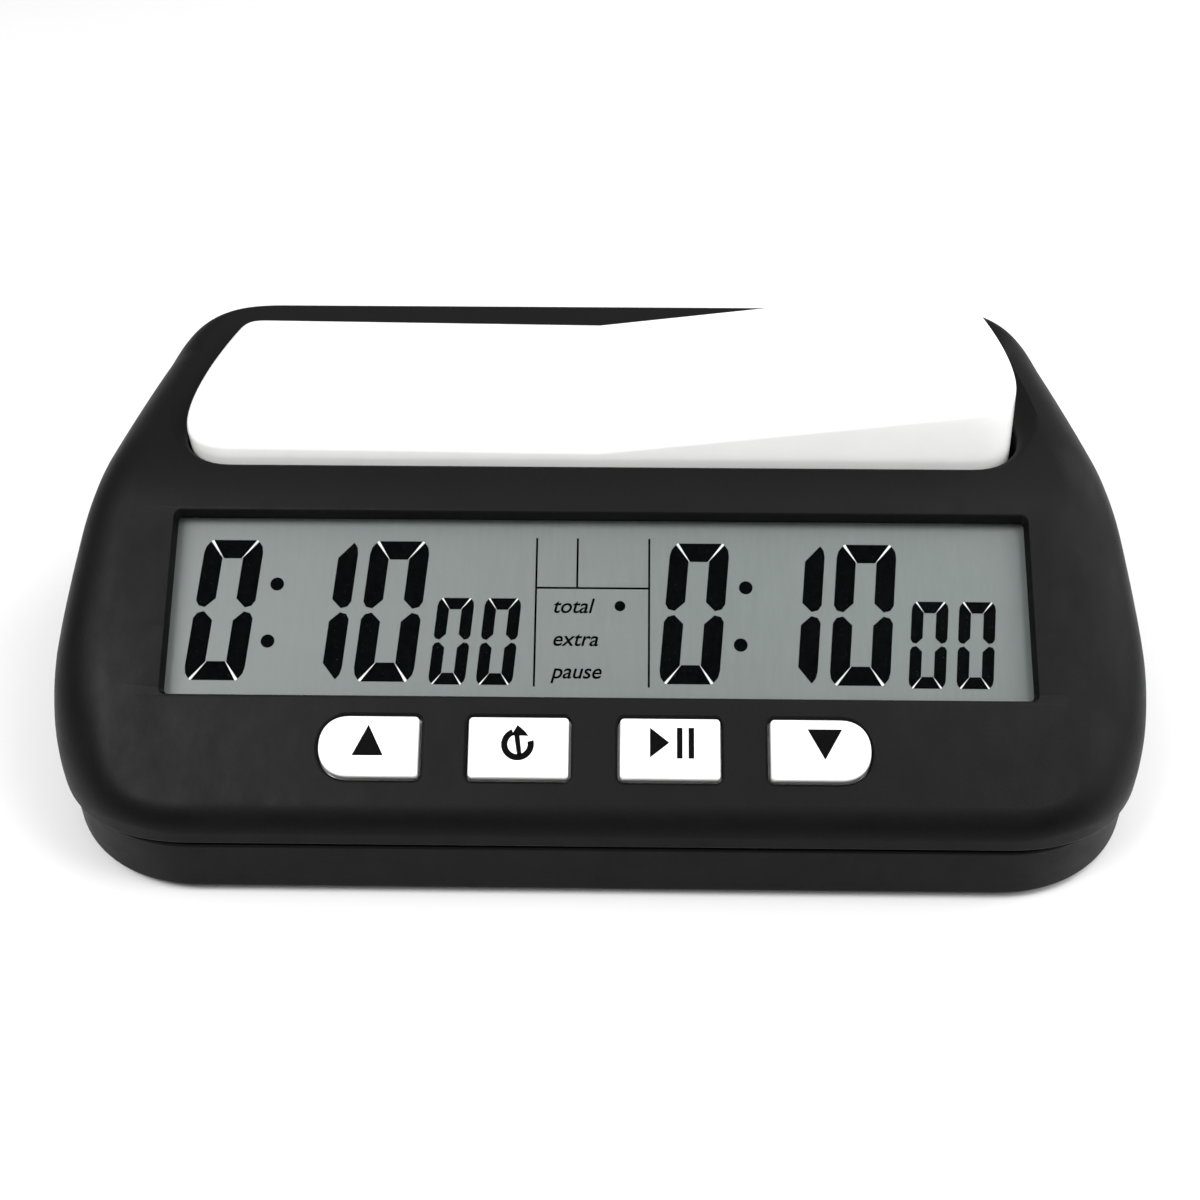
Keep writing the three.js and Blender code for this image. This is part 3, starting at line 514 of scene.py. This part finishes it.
# ---------------------------------------------------------------- case shells
POSTS = [(-67, -21), (67, -21), (-64.3, 24), (64.3, 24)]
POST_RADIUS, POST_PILOT, SCREW_HOLE, SCREW_HEAD, HEAD_SEAT = 3.1, 1.35, 1.8, 3.0, 3.4
FOOT_X, FOOT_FRONT_Y, FOOT_REAR_Y, FOOT_RADIUS, FOOT_SUNK = 57, -30, 31, 5, 0.9
FEET_PLACES = {"foot_front_left": (-FOOT_X, FOOT_FRONT_Y), "foot_front_right": (FOOT_X, FOOT_FRONT_Y),
               "foot_rear_left": (-FOOT_X, FOOT_REAR_Y), "foot_rear_right": (FOOT_X, FOOT_REAR_Y)}
BOX_X, BOX_FRONT, BOX_REAR, BOX_TOP, BOX_WALL = 30.4, 5.4, 36.7, 19.8, 1.4
BOX_FOOT = 0.5  # the box and the posts start this far into the floor, to join it
COVER_X, COVER_FRONT, COVER_REAR, COVER_THICK = 28.5, 6.6, 34.5, 1.8
POWER_X, POWER_Y, POWER_TRAVEL = 44, -12, 2.5
SLOT_HALF, SLOT_DEPTH_HALF, RECESS_HALF, RECESS_DEPTH_HALF, RECESS_DEEP = 4.5, 2, 6.5, 3.6, 0.9
LIP_HEIGHT, LIP_THICKNESS = 2.4, 1.2


def rod(name, radius, z0, z1, x=0, y=0, steps=32):
    return loft(name, [(circle(x, y, radius, steps), z0), (circle(x, y, radius, steps), z1)])


def window_cutter():
    """Straight through below the lens, then a chamfer that ends in a softened rim."""
    def loop(share, grow=0):
        side, low, high = (reach * share + grow for reach in (BEZEL_SIDE, BEZEL_LOW, BEZEL_HIGH))
        return rounded_rectangle(-WINDOW_X - side, WINDOW_X + side, WINDOW_LOW - low, WINDOW_HIGH + high,
                                 WINDOW_CORNER + low)
    rim = loop(1, 0.2)
    return on_deck(loft("window_cutter", [
        (loop(0), DECK_INNER), (loop(0), LENS_TOP), (loop(0.8), -0.2), (loop(0.95), -0.05), (rim, 0.04),
        (rim, DECK_OUTER),
    ]))


def key_loop(name, grow, steps=8):
    """Outline of a key about its own middle; the outer end of the two outer keys is rounded."""
    half, tall, corner = KEY_WIDE / 2 + grow, KEY_TALL / 2 + grow, max(0.15, KEY_CORNER + grow)
    side = -1 if name == "button_up" else 1
    reach = tall - KEY_END_FLAT if name in ("button_up", "button_down") else corner
    end = bezier([(half - reach, -tall), (half - reach * 0.35, -tall), (half, -tall + reach * 0.45),
                  (half, -tall + reach)], steps)
    end += bezier([(half, tall - reach), (half, tall - reach * 0.45), (half - reach * 0.35, tall),
                   (half - reach, tall)], steps)
    loop = [(p.x, p.y) for p in end] + arc(-half + corner, tall - corner, corner, 90, 180, steps)
    loop += arc(-half + corner, -tall + corner, corner, 180, 270, steps)
    return loop if side > 0 else [(-x, y) for x, y in reversed(loop)]


def on_key(name, grow, steps=8):
    """Outline of a key at its place on the sloping face."""
    return shifted(key_loop(name, grow, steps), KEY_X[name], KEY_S)


def key_hole_cutter(name):
    levels = [(GAP, DECK_INNER), (GAP, -0.4), (GAP + 0.12, -0.12), (GAP + 0.4, 0.03), (GAP + 0.4, DECK_OUTER)]
    return on_deck(loft("key_cutter", [(on_key(name, grow), z) for grow, z in levels]))


def opening_cutter():
    """Straight hole with a rounded lip at the front, widening into the bevel along the sides and the rear."""
    hole = rocker_outline(OPENING_GAP)
    start, fade_length, edge_round = 20, 12, 0.5

    def width(y):
        fade = smooth(y, ROCKER["front_y"], ROCKER["front_y"] + fade_length)
        return OPENING_LIP + (BEVEL_WIDTH - OPENING_LIP) * fade, fade

    rings = [(hole, lambda x, y, k: start)]
    for share in (0, 0.06, 0.14, 0.25, 0.4, 0.6, 0.8, 0.92, 1):
        half = offset_outline(hole, lambda i: width(hole[i].y)[0] * share)

        def height(x, y, k, share=share):
            reach, fade = width(hole[k].y)
            rounded = OPENING_LIP * (1 - math.sqrt(1 - (1 - share) ** 2)) * (1 - fade)
            depth = BEVEL_DROP * fade * (1 - share) + rounded
            edge = 0.35 * max(0, 1 - share * reach / edge_round) ** 2 * fade
            return top_height(y) - depth - edge + CLEAR
        rings.append((half, height))
    rings.append((half, lambda x, y, k: ABOVE))
    return ring_solid("opening_cutter", rings)


def core():
    """The hollow of the upper shell."""
    roof = WALL / math.cos(TILT)
    return domed_solid("core", case_outline(UPPER_CORNER), BELOW, lambda x, y: top_height(y) - roof,
                       lambda n: max(0.6, case_shoulder(n) - WALL), inset=WALL, steps=5)


def lens_pocket():
    """The lens sits in this pocket, cut up from inside."""
    return on_deck(block("lens_pocket", -LENS_X - GAP, LENS_X + GAP, LENS_LOW - GAP, LENS_HIGH + GAP,
                         DECK_INNER, LENS_TOP + GAP))


def upper_case():
    """Top shell with the sloping face, and screw posts that hang from its roof."""
    floor = PARTING_Z + GROOVE / 2
    post_below_top, pilot_below_top = 4, 8
    shell = domed_solid("upper_case_shell", case_outline(UPPER_CORNER), floor, lambda x, y: top_height(y),
                        case_shoulder, fillet=0.45)
    boolean(shell, [core()])
    posts = [rod("post", POST_RADIUS, floor, top_height(y) - post_below_top, x, y) for x, y in POSTS]
    boolean(shell, posts, "UNION")
    cutters = [window_cutter(), opening_cutter(), lens_pocket()]
    cutters += [rod("pilot", POST_PILOT, BELOW, top_height(y) - pilot_below_top, x, y) for x, y in POSTS]
    cutters += [key_hole_cutter(name) for name in KEY_X]
    boolean(shell, cutters)
    return wear(soften(shell), CASE_BLACK, "case", "upper_case")


upper_case()


def mouth_cutter(name, mouth, bore, chamfer, z1):
    """A cutter up through the underside: the wide loop just below it, the narrow one above the chamfer."""
    return loft(name, [(mouth, BELOW), (mouth, FEET - CLEAR * 2), (bore, FEET + chamfer), (bore, z1)])


def stepped_pocket(name, radius, z1, x, y, chamfer=0.3):
    """A round pocket cut up from below, with a small chamfer at its mouth."""
    mouth, bore = circle(x, y, radius + chamfer, 40), circle(x, y, radius, 40)
    return mouth_cutter(name, mouth, bore, chamfer, z1)


def lower_case():
    """Bottom shell with a lip behind the parting groove; feet, screws, cover and switch go into its floor."""
    outline = case_outline(LOWER_CORNER)
    floor, top = FEET + WALL, PARTING_Z - GROOVE / 2
    shell = domed_solid("lower_case_shell", outline, FEET, lambda x, y: top, lambda n: 0.4, inset=LOWER_INSET,
                        fillet=FLOOR_FILLET, steps=4)
    lip_inset = WALL + GAP
    lip = domed_solid("lip", outline, floor, lambda x, y: PARTING_Z + LIP_HEIGHT, lambda n: CLEAR,
                      inset=lip_inset, steps=1)
    boolean(shell, [lip], "UNION")
    inside = domed_solid("inside", outline, floor, lambda x, y: ABOVE, lambda n: CLEAR,
                         inset=lip_inset + LIP_THICKNESS, steps=1)
    boolean(shell, [inside])
    additions = [rod("post", POST_RADIUS + 0.9, FEET + BOX_FOOT, top, x, y) for x, y in POSTS]
    additions.append(block("battery_box", -BOX_X - BOX_WALL, BOX_X + BOX_WALL, BOX_FRONT - BOX_WALL,
                           BOX_REAR + BOX_WALL, FEET + BOX_FOOT, BOX_TOP + BOX_WALL))
    boolean(shell, additions, "UNION")
    cutters = [block("battery_bay", -BOX_X, BOX_X, BOX_FRONT, BOX_REAR, floor, BOX_TOP)]
    cover, cover_mouth = (rounded_rectangle(-COVER_X - g, COVER_X + g, COVER_FRONT - g, COVER_REAR + g, 1 + g)
                          for g in (GAP, 0.7))
    cutters.append(mouth_cutter("cover_mouth", cover_mouth, cover, 0.35, floor + 1))
    for x, y in POSTS:
        cutters += [rod("screw_hole", SCREW_HOLE, BELOW, 30, x, y),
                    stepped_pocket("screw_seat", SCREW_HEAD + 0.4, FEET + HEAD_SEAT, x, y),
                    rod("lip_relief", POST_RADIUS + GAP, top, 30, x, y)]
    cutters += [stepped_pocket("foot_seat", FOOT_RADIUS + GAP, FEET + FOOT_SUNK, x, y)
                for x, y in FEET_PLACES.values()]
    cutters.append(block("power_slot", POWER_X - SLOT_HALF, POWER_X + SLOT_HALF, POWER_Y - SLOT_DEPTH_HALF,
                         POWER_Y + SLOT_DEPTH_HALF, BELOW, floor + 1))
    half_x, half_y = RECESS_HALF, RECESS_DEPTH_HALF
    recess, recess_mouth = (rounded_rectangle(POWER_X - half_x - g, POWER_X + half_x + g, POWER_Y - half_y - g,
                                              POWER_Y + half_y + g, 1 + g) for g in (0, 0.35))
    cutters.append(mouth_cutter("power_mouth", recess_mouth, recess, 0.3, FEET + RECESS_DEEP))
    boolean(shell, cutters)
    return wear(soften(shell), CASE_BLACK, "case", "lower_case")


lower_case()


def feet_and_screws():
    """Four rubber pads with a ring-shaped groove, and four cross-slot screws up through the bottom shell."""
    for name, (x, y) in FEET_PLACES.items():
        top = FEET + FOOT_SUNK - GAP
        profile = [(0, 0), (2.2, 0), (2.4, 0.12), (3.1, 0.12), (3.3, 0), (FOOT_RADIUS - 0.5, 0),
                   (FOOT_RADIUS - 0.15, 0.12), (FOOT_RADIUS, 0.45), (FOOT_RADIUS, top), (0, top)]
        pad = lathe(name + "_pad", profile, 48)
        wear(soften(place(pad, Matrix.Translation((x * MM, y * MM, 0)))), RUBBER, "case", name)
    for number, (x, y) in enumerate(POSTS, 1):
        seat, head, shank = FEET + HEAD_SEAT - GAP, SCREW_HEAD - 0.2, 1.05
        profile = [(0, seat - 1.9), (head * 0.55, seat - 1.85), (head * 0.85, seat - 1.5), (head, seat - 0.9),
                   (head, seat), (shank, seat), (shank, seat + 11), (0, seat + 12)]
        screw = lathe("screw", profile, 40)
        low, high = seat - 2.4, seat - 0.6
        boolean(screw, [block("slot", -a, a, -b, b, low, high) for a, b in ((1.5, 0.26), (0.26, 1.5))])
        screw.name = f"case_screw_{number}_head"
        place(screw, Matrix.Translation((x * MM, y * MM, 0)))
        wear(soften(screw), STEEL, "case", f"case_screw_{number}")


feet_and_screws()


def battery_cover():
    """Cover flush with the underside, with a scooped thumb grip, an arrow and moulded grip ribs."""
    face, edge = (rounded_rectangle(-COVER_X + g, COVER_X - g, COVER_FRONT + g, COVER_REAR - g, 1)
                  for g in (0.3, 0))
    plate = loft("battery_cover_plate", [(face, FEET), (edge, FEET + 0.3), (edge, FEET + COVER_THICK)])
    grip_y = COVER_REAR - 3.5
    scoop = rounded_rectangle(-7, 7, grip_y - 2, grip_y + 2, 1.9)
    wide = rounded_rectangle(-7.6, 7.6, grip_y - 2.6, grip_y + 2.6, 2.5)
    cutters = [loft("scoop", [(wide, BELOW), (wide, FEET - CLEAR), (scoop, FEET + 0.7), (scoop, FEET + 0.8)])]
    tip = COVER_REAR - 8
    arrow = [(-2.6, tip - 3.4), (2.6, tip - 3.4), (0, tip)]
    cutters.append(loft("arrow", [(arrow, z) for z in (BELOW, FEET + 0.35)]))
    for row in range(5):
        y = COVER_FRONT + 4 + row * 2.2
        rib_gap = rounded_rectangle(-12, 12, y - 0.45, y + 0.45, 0.44)
        cutters.append(loft("rib_gap", [(rib_gap, z) for z in (BELOW, FEET + 0.4)]))
    boolean(plate, cutters)
    return wear(soften(plate), CASE_BLACK, "cover", "battery_cover")


battery_cover()


def power_knob():
    """Sliding knob in its slot, held by a flange inside and grooved where a fingernail pushes it."""
    x, low, floor = POWER_X - POWER_TRAVEL / 2, FEET + 0.5, FEET + WALL
    knob = block("power_knob", x - 1.6, x + 1.6, POWER_Y - 1.6, POWER_Y + 1.6, low, floor + 1.6)
    flange = block("flange", x - 3.4, x + 3.4, POWER_Y - 3, POWER_Y + 3, floor + GAP, floor + 1)
    boolean(knob, [flange], "UNION")
    grooves = [block("groove", x + dx - 0.2, x + dx + 0.2, POWER_Y - 2, POWER_Y + 2, BELOW, low + 0.35)
               for dx in (-0.9, 0, 0.9)]
    boolean(knob, grooves)
    bevel = knob.modifiers.new("edge", "BEVEL")
    bevel.width, bevel.segments, bevel.limit_method = 0.1 * MM, 2, "ANGLE"
    return wear(soften(apply_modifiers(knob)), INNER_BLACK, "power_knob", "power_switch_knob")


power_knob()


# ---------------------------------------------------------------- rocker
def rod_along_y(name, radius, y0, y1):
    return place(rod(name, radius, -y1, -y0, steps=40), Matrix.Rotation(math.pi / 2, 4, "X"))


def rocker():
    """Hollow two-winged lever, made level about its axle and then tilted to its resting pose."""
    def wing_top(x, y=0):
        return VALLEY + (math.hypot(x, VALLEY_ROUND) - VALLEY_ROUND) * math.tan(WING_RISE)

    outline = rocker_outline(0)
    front, rear = ROCKER["front_y"], ROCKER["rear_y"]
    body = domed_solid("rocker_shell", outline, -SKIRT, wing_top, lambda n: ROCKER_ROUND, fillet=0.4)
    boolean(body, [domed_solid("rocker_inner", outline, -SKIRT - 1, lambda x, y: wing_top(x) - ROCKER_WALL,
                               lambda n: 0.6, inset=ROCKER_WALL, steps=3)])
    ribs = [rod_along_y("hub", HUB_RADIUS, front + 0.5, rear - 0.5),
            block("web", -1.2, 1.2, front + 1, rear - 1, 0, VALLEY - 1)]
    ribs += [block("pad", x - 2.5, x + 2.5, SWITCH_Y - 2.5, SWITCH_Y + 2.5, PAD_LOW, wing_top(x) - 1)
             for x in (-SWITCH_X, SWITCH_X)]
    boolean(body, ribs, "UNION")
    boolean(body, [rod_along_y("bore", AXLE_RADIUS + GAP, front - 5, rear + 5)])
    place(body, Matrix.Translation((0, 0, AXLE_Z * MM)) @ Matrix.Rotation(-REST_TILT, 4, "Y"))
    return wear(soften(body), WHITE, "rocker_body", "rocker")


rocker()


# ---------------------------------------------------------------- keys and their printed symbols
PRINT_LOW, PRINT_HIGH = -0.02, 0.03


def printed(name, loops, x, body):
    """Flat ink shapes on a key's top face."""
    inks = [loft("ink", [(shifted(loop, x, KEY_S), KEY_PROUD + z) for z in (PRINT_LOW, PRINT_HIGH)])
            for loop in loops]
    return wear(on_deck(join(name, inks)), PRINT, body)


def reset_symbol():
    """A round arrow with a clock hand."""
    x, y, outer, inner = -0.1, 0.4, 2.2, 1.35
    ring = arc(x, y, outer, 112, 375, 40) + arc(x, y, inner, 375, 112, 40)
    head = [(x - 0.85, y + 1.2), (x + 1.45, y + 1.15), (x + 0.95, y + 1.8), (x - 0.05, y + 2.65)]
    hand = [(x - 0.5, y + 1.5), (x, y - 1.7), (x + 0.6, y - 1.6), (x + 0.2, y + 1.5)]
    return [ring, head, hand]


SYMBOLS = {
    "button_up": [[(-2.1, -1.3), (2.1, -1.3), (0, 2.9)]],
    "button_reset": reset_symbol(),
    "button_play_pause": [[(-2.7, -1.25), (-0.1, 0.8), (-2.7, 2.85)]]
    + [[(x, -1.35), (x + 0.75, -1.35), (x + 0.75, 2.85), (x, 2.85)] for x in (0.9, 2.45)],
    "button_down": [[(0.5, -1.35), (2.85, 2.8), (-1.8, 2.8)]],
}


def keys():
    """Four keys with softened top edges, a flange that holds each one in and a stem down to its dome."""
    for name, x in KEY_X.items():
        levels = [(0, -3), (0, KEY_PROUD - 0.5), (-0.04, KEY_PROUD - 0.28), (-0.15, KEY_PROUD - 0.1),
                  (-0.32, KEY_PROUD - 0.02), (-0.55, KEY_PROUD)]
        cap = loft(name + "_cap", [(on_key(name, grow, 10), z) for grow, z in levels])
        flange = loft("flange", [(on_key(name, KEY_FLANGE), z) for z in (-3.6, -2.5)])
        boolean(cap, [flange, rod("stem", KEY_STEM, KEY_STEM_END, -3, x, KEY_S)], "UNION")
        wear(soften(on_deck(cap)), WHITE, KEY_BODY[name], name)
        printed(name.replace("button", "symbol"), SYMBOLS[name], x, KEY_BODY[name])


keys()


# ---------------------------------------------------------------- display
CELL_WIDE, CELL_TALL, STROKE, LEAN = 8.3, 20.4, 2.7, math.tan(4.8 * DEGREE)
GROUP_STEP, SMALL_STEP = 65.5, 65.9  # the right player's digits repeat the left player's this far along
BIG_CELLS = {"0": [(-52.2, -0.9), (-28.8, -0.9)], "1": [(-38.8, -0.9)]}
SMALL_CELLS, SMALL_SCALE = [(-20.35, -5.2), (-13.8, -5.2)], 0.61
COLON = [(-45.05, 2.85), (-45.85, -5.45)]
DOT_RADIUS = 0.95


def segment_loops(digit):
    """Mitred strokes of a seven-segment digit about its cell's middle, and the painted highlight lines in the
    mitres.
    """
    w, h, t = CELL_WIDE / 2, CELL_TALL / 2, STROKE
    bar = [(-w + 1.1, h), (w - 1.1, h), (w - t - 0.2, h - t), (-w + t + 0.2, h - t)]
    upper = [(-w, h - 1.9), (-w + 0.2, h - 0.95), (-w + 0.72, h - 0.25), (-w + t, h - t + 0.15),
             (-w + t, 1.6), (-w + 1.35, 0.3), (-w + 0.45, 0.55), (-w, 1.3)]
    # mitre is a painted highlight: a thin glint line laid into the gap at each corner of the digit
    mitre = [(-w + 0.78, h - 0.15), (-w + 1.08, h + 0.03), (-w + t + 0.14, h - t),
             (-w + t - 0.02, h - t + 0.12)]

    def flip(loop, sx, sy):
        flipped = [(x * sx, y * sy) for x, y in loop]
        return flipped if sx * sy > 0 else flipped[::-1]
    if digit == "1":
        return [flip(upper, -1, 1), flip(upper, -1, -1)], []
    corners = [(sx, sy) for sx in (1, -1) for sy in (1, -1)]
    strokes = [flip(upper, sx, sy) for sx, sy in corners] + [flip(bar, 1, sy) for sy in (1, -1)]
    return strokes, [flip(mitre, sx, sy) for sx, sy in corners]


def counter_clockwise(loop):
    area = sum(x0 * y1 - x1 * y0 for (x0, y0), (x1, y1) in zip(loop, loop[1:] + loop[:1]))
    return loop if area > 0 else loop[::-1]


def digit_art():
    """Loops of the dark strokes and dots of both players' times, and of the painted highlight lines in the
    mitres.
    """
    strokes, lights = [], []
    cells = [(d, c, 1) for d, places in BIG_CELLS.items() for c in places]
    cells += [("0", c, SMALL_SCALE) for c in SMALL_CELLS]
    for digit, (cx, cy), scale in cells:
        for loops, target in zip(segment_loops(digit), (strokes, lights)):
            for step in (0, GROUP_STEP if scale == 1 else SMALL_STEP):
                target += [[(cx + step + (x + y * LEAN) * scale, cy + y * scale) for x, y in loop]
                           for loop in loops]
    strokes += [circle(x + step, y, DOT_RADIUS, 28) for x, y in COLON for step in (0, GROUP_STEP)]
    return strokes, lights


def rectangle(x0, x1, y0, y1):
    return [(x0, y0), (x1, y0), (x1, y1), (x0, y1)]


def panel_art():
    """Frame lines of the middle panel and the dot that marks the mode in use."""
    line = 0.14
    left, right, split, cross, low, high = -8.8, 6.98, -3.07, 2.62, -11.6, 9.95
    return [rectangle(left - line, left + line, low, high), rectangle(right - line, right + line, low, high),
            rectangle(split - line, split + line, cross, high),
            rectangle(left, right, cross - line, cross + line), circle(2.93, 0.03, 0.75, 24)]


WORDS = {"total": -1.0, "extra": -5.75, "pause": -10.4}
WORD_X, WORD_SIZE, WORD_SHEAR, WORD_THICK, WORD_BOLD = -6.5, 3.0, 0.25, 0.02, 0.03


def display_art():
    """Everything that shows on the front glass, as thin raised shapes."""
    strokes, lights = digit_art()

    def inlay(name, loops, low, high, mat):
        heights = (GLASS_TOP + low, GLASS_TOP + high)
        parts = [loft("part", [(counter_clockwise(loop), z) for z in heights]) for loop in loops]
        wear(on_deck(join(name, parts)), mat, "case")
    inlay("display_digits", strokes, -0.05, 0.03, SEGMENT)
    inlay("display_panel_lines", panel_art(), -0.05, 0.02, SEGMENT)
    # The mitre lines get a near-white colour: painted highlights, not a part of the display's own colour
    glint, tree, shader = new_material("display_glint", (0.62, 0.66, 0.65), 0.3)
    paint(tree, shader, noise(tree, 700, 2), (0.4, 0.44, 0.42), (0.72, 0.75, 0.74))
    inlay("display_glints", lights, -0.05, 0.015, glint)
    for row, (word, height) in enumerate(WORDS.items(), 1):
        curve = bpy.data.curves.new("word", "FONT")
        curve.body, curve.size, curve.shear = word, WORD_SIZE * MM, WORD_SHEAR
        curve.extrude, curve.offset = WORD_THICK * MM, WORD_BOLD * MM
        text = add_object("word", curve)
        mesh = bpy.data.meshes.new_from_object(text.evaluated_get(bpy.context.evaluated_depsgraph_get()))
        bpy.data.objects.remove(text)
        label = add_object(f"display_word_{row}", mesh)
        place(label, Matrix.Translation((WORD_X * MM, height * MM, (GLASS_TOP + 0.01) * MM)))
        wear(on_deck(label), SEGMENT, "case")


display_art()


# ---------------------------------------------------------------- frame pieces that keep their shape
NODE_LOOKS = {
    "window_clear": LENS, "display": DISPLAY, "silver": SILVER, "steel": STEEL, "inner_black": INNER_BLACK,
    "rubber": RUBBER, "white_gloss": WHITE,
    "silicone": plain_plastic("silicone", (0.55, 0.55, 0.53), 0.6),
    "board": plain_plastic("board", (0.012, 0.11, 0.035), 0.4, 1400),
    "epoxy": plain_plastic("epoxy", (0.008, 0.008, 0.008), 0.35, 700),
    "cell_sleeve": plain_plastic("cell_sleeve", (0.03, 0.11, 0.27), 0.35, 300),
    "lead_red": plain_plastic("lead_red", (0.35, 0.012, 0.012), 0.5, 1500),
}
for part in frame["record"]["subparts"]:
    node = frame["nodes"][part["node"]]
    if part["material_slot"] in NODE_LOOKS:
        node.data.materials.clear()
        node.data.materials.append(NODE_LOOKS[part["material_slot"]])


# ---------------------------------------------------------------- camera, light and floor
CAMERA_AIM = Vector((0.18, -14.3, 31.2)) * MM
CAMERA_DISTANCE, CAMERA_DOWN, CAMERA_YAW, CAMERA_ROLL = 240.7 * MM, 42 * DEGREE, -1.0 * DEGREE, -0.2 * DEGREE
SENSOR, LENS_LENGTH = 36, 52.5


def camera():
    """A camera that looks down at the middle of the sloping face."""
    level = math.cos(CAMERA_DOWN)
    ahead = Vector((math.sin(CAMERA_YAW) * level, math.cos(CAMERA_YAW) * level, -math.sin(CAMERA_DOWN)))
    level_right = ahead.cross(Vector((0, 0, 1))).normalized()
    level_up = level_right.cross(ahead)
    right = level_right * math.cos(CAMERA_ROLL) + level_up * math.sin(CAMERA_ROLL)
    up = right.cross(ahead)
    data = bpy.data.cameras.new("camera")
    data.sensor_width, data.lens, data.clip_start = SENSOR, LENS_LENGTH, 0.01
    obj = add_object("camera", data)
    turn = Matrix((right, up, -ahead)).transposed().to_4x4()
    obj.matrix_world = Matrix.Translation(CAMERA_AIM - ahead * CAMERA_DISTANCE) @ turn
    bpy.context.scene.camera = obj


SKY_LOW, SKY_HIGH, FLOOR_SHADE, FLOOR_HALF = 0.2, 1.45, 0.66, 2
LIGHTS = {  # place, aim and size in metres, then watts
    "key_light": ((-0.34, -0.14, 0.42), (-0.04, -0.02, 0.02), (0.22, 0.22), 1.2),
    "face_light": ((-0.2, -0.24, 0.46), (-0.02, -0.03, 0.03), (0.16, 0.16), 0.95),
    "right_light": ((0.2, -0.1, 0.45), (0.05, -0.02, 0.03), (0.16, 0.16), 0.6),
    "side_light": ((0.5, 0.05, 0.34), (0.07, 0, 0.02), (0.8, 0.5), 4.0),
}


def area_light(name, spot, aim, size, power):
    data = bpy.data.lights.new(name, "AREA")
    data.shape, data.size, data.size_y, data.energy = "RECTANGLE", size[0], size[1], power
    turn = (Vector(spot) - Vector(aim)).to_track_quat("Z", "Y").to_matrix().to_4x4()
    add_object(name, data).matrix_world = Matrix.Translation(spot) @ turn


def studio():
    """A sky that brightens towards the zenith, three lamps, a broad one on the right and a pale floor."""
    world = bpy.data.worlds.new("studio")
    world.use_nodes = True
    tree = world.node_tree
    direction = add_node(tree, "ShaderNodeTexCoord").outputs["Generated"]
    up = add_node(tree, "ShaderNodeSeparateXYZ", {"Vector": direction}).outputs["Z"]
    rise = add_node(tree, "ShaderNodeMath", {0: up, 1: up}, operation="MULTIPLY").outputs[0]
    strength = remap(tree, rise, SKY_LOW, SKY_HIGH, 0, 1)
    tree.links.new(strength, tree.nodes["Background"].inputs["Strength"])
    tree.nodes["Background"].inputs["Color"].default_value = (1, 1, 1, 1)
    bpy.context.scene.world = world
    for name, values in LIGHTS.items():
        area_light(name, *values)

    pale, darker = (FLOOR_SHADE,) * 3, (FLOOR_SHADE * 0.985,) * 3
    floor_mat, tree, shader = new_material("floor", pale, 0.9, Specular_IOR_Level=0.1)
    paint(tree, shader, noise(tree, 12, 2), pale, darker)
    corners = [(x, y, 0) for x, y in rectangle(-FLOOR_HALF, FLOOR_HALF, -FLOOR_HALF, FLOOR_HALF)]
    floor = mesh_object("floor", corners, [(0, 1, 2, 3)], 1)
    floor.data.materials.append(floor_mat)


camera()
studio()
bpy.context.scene.view_settings.view_transform = "Standard"
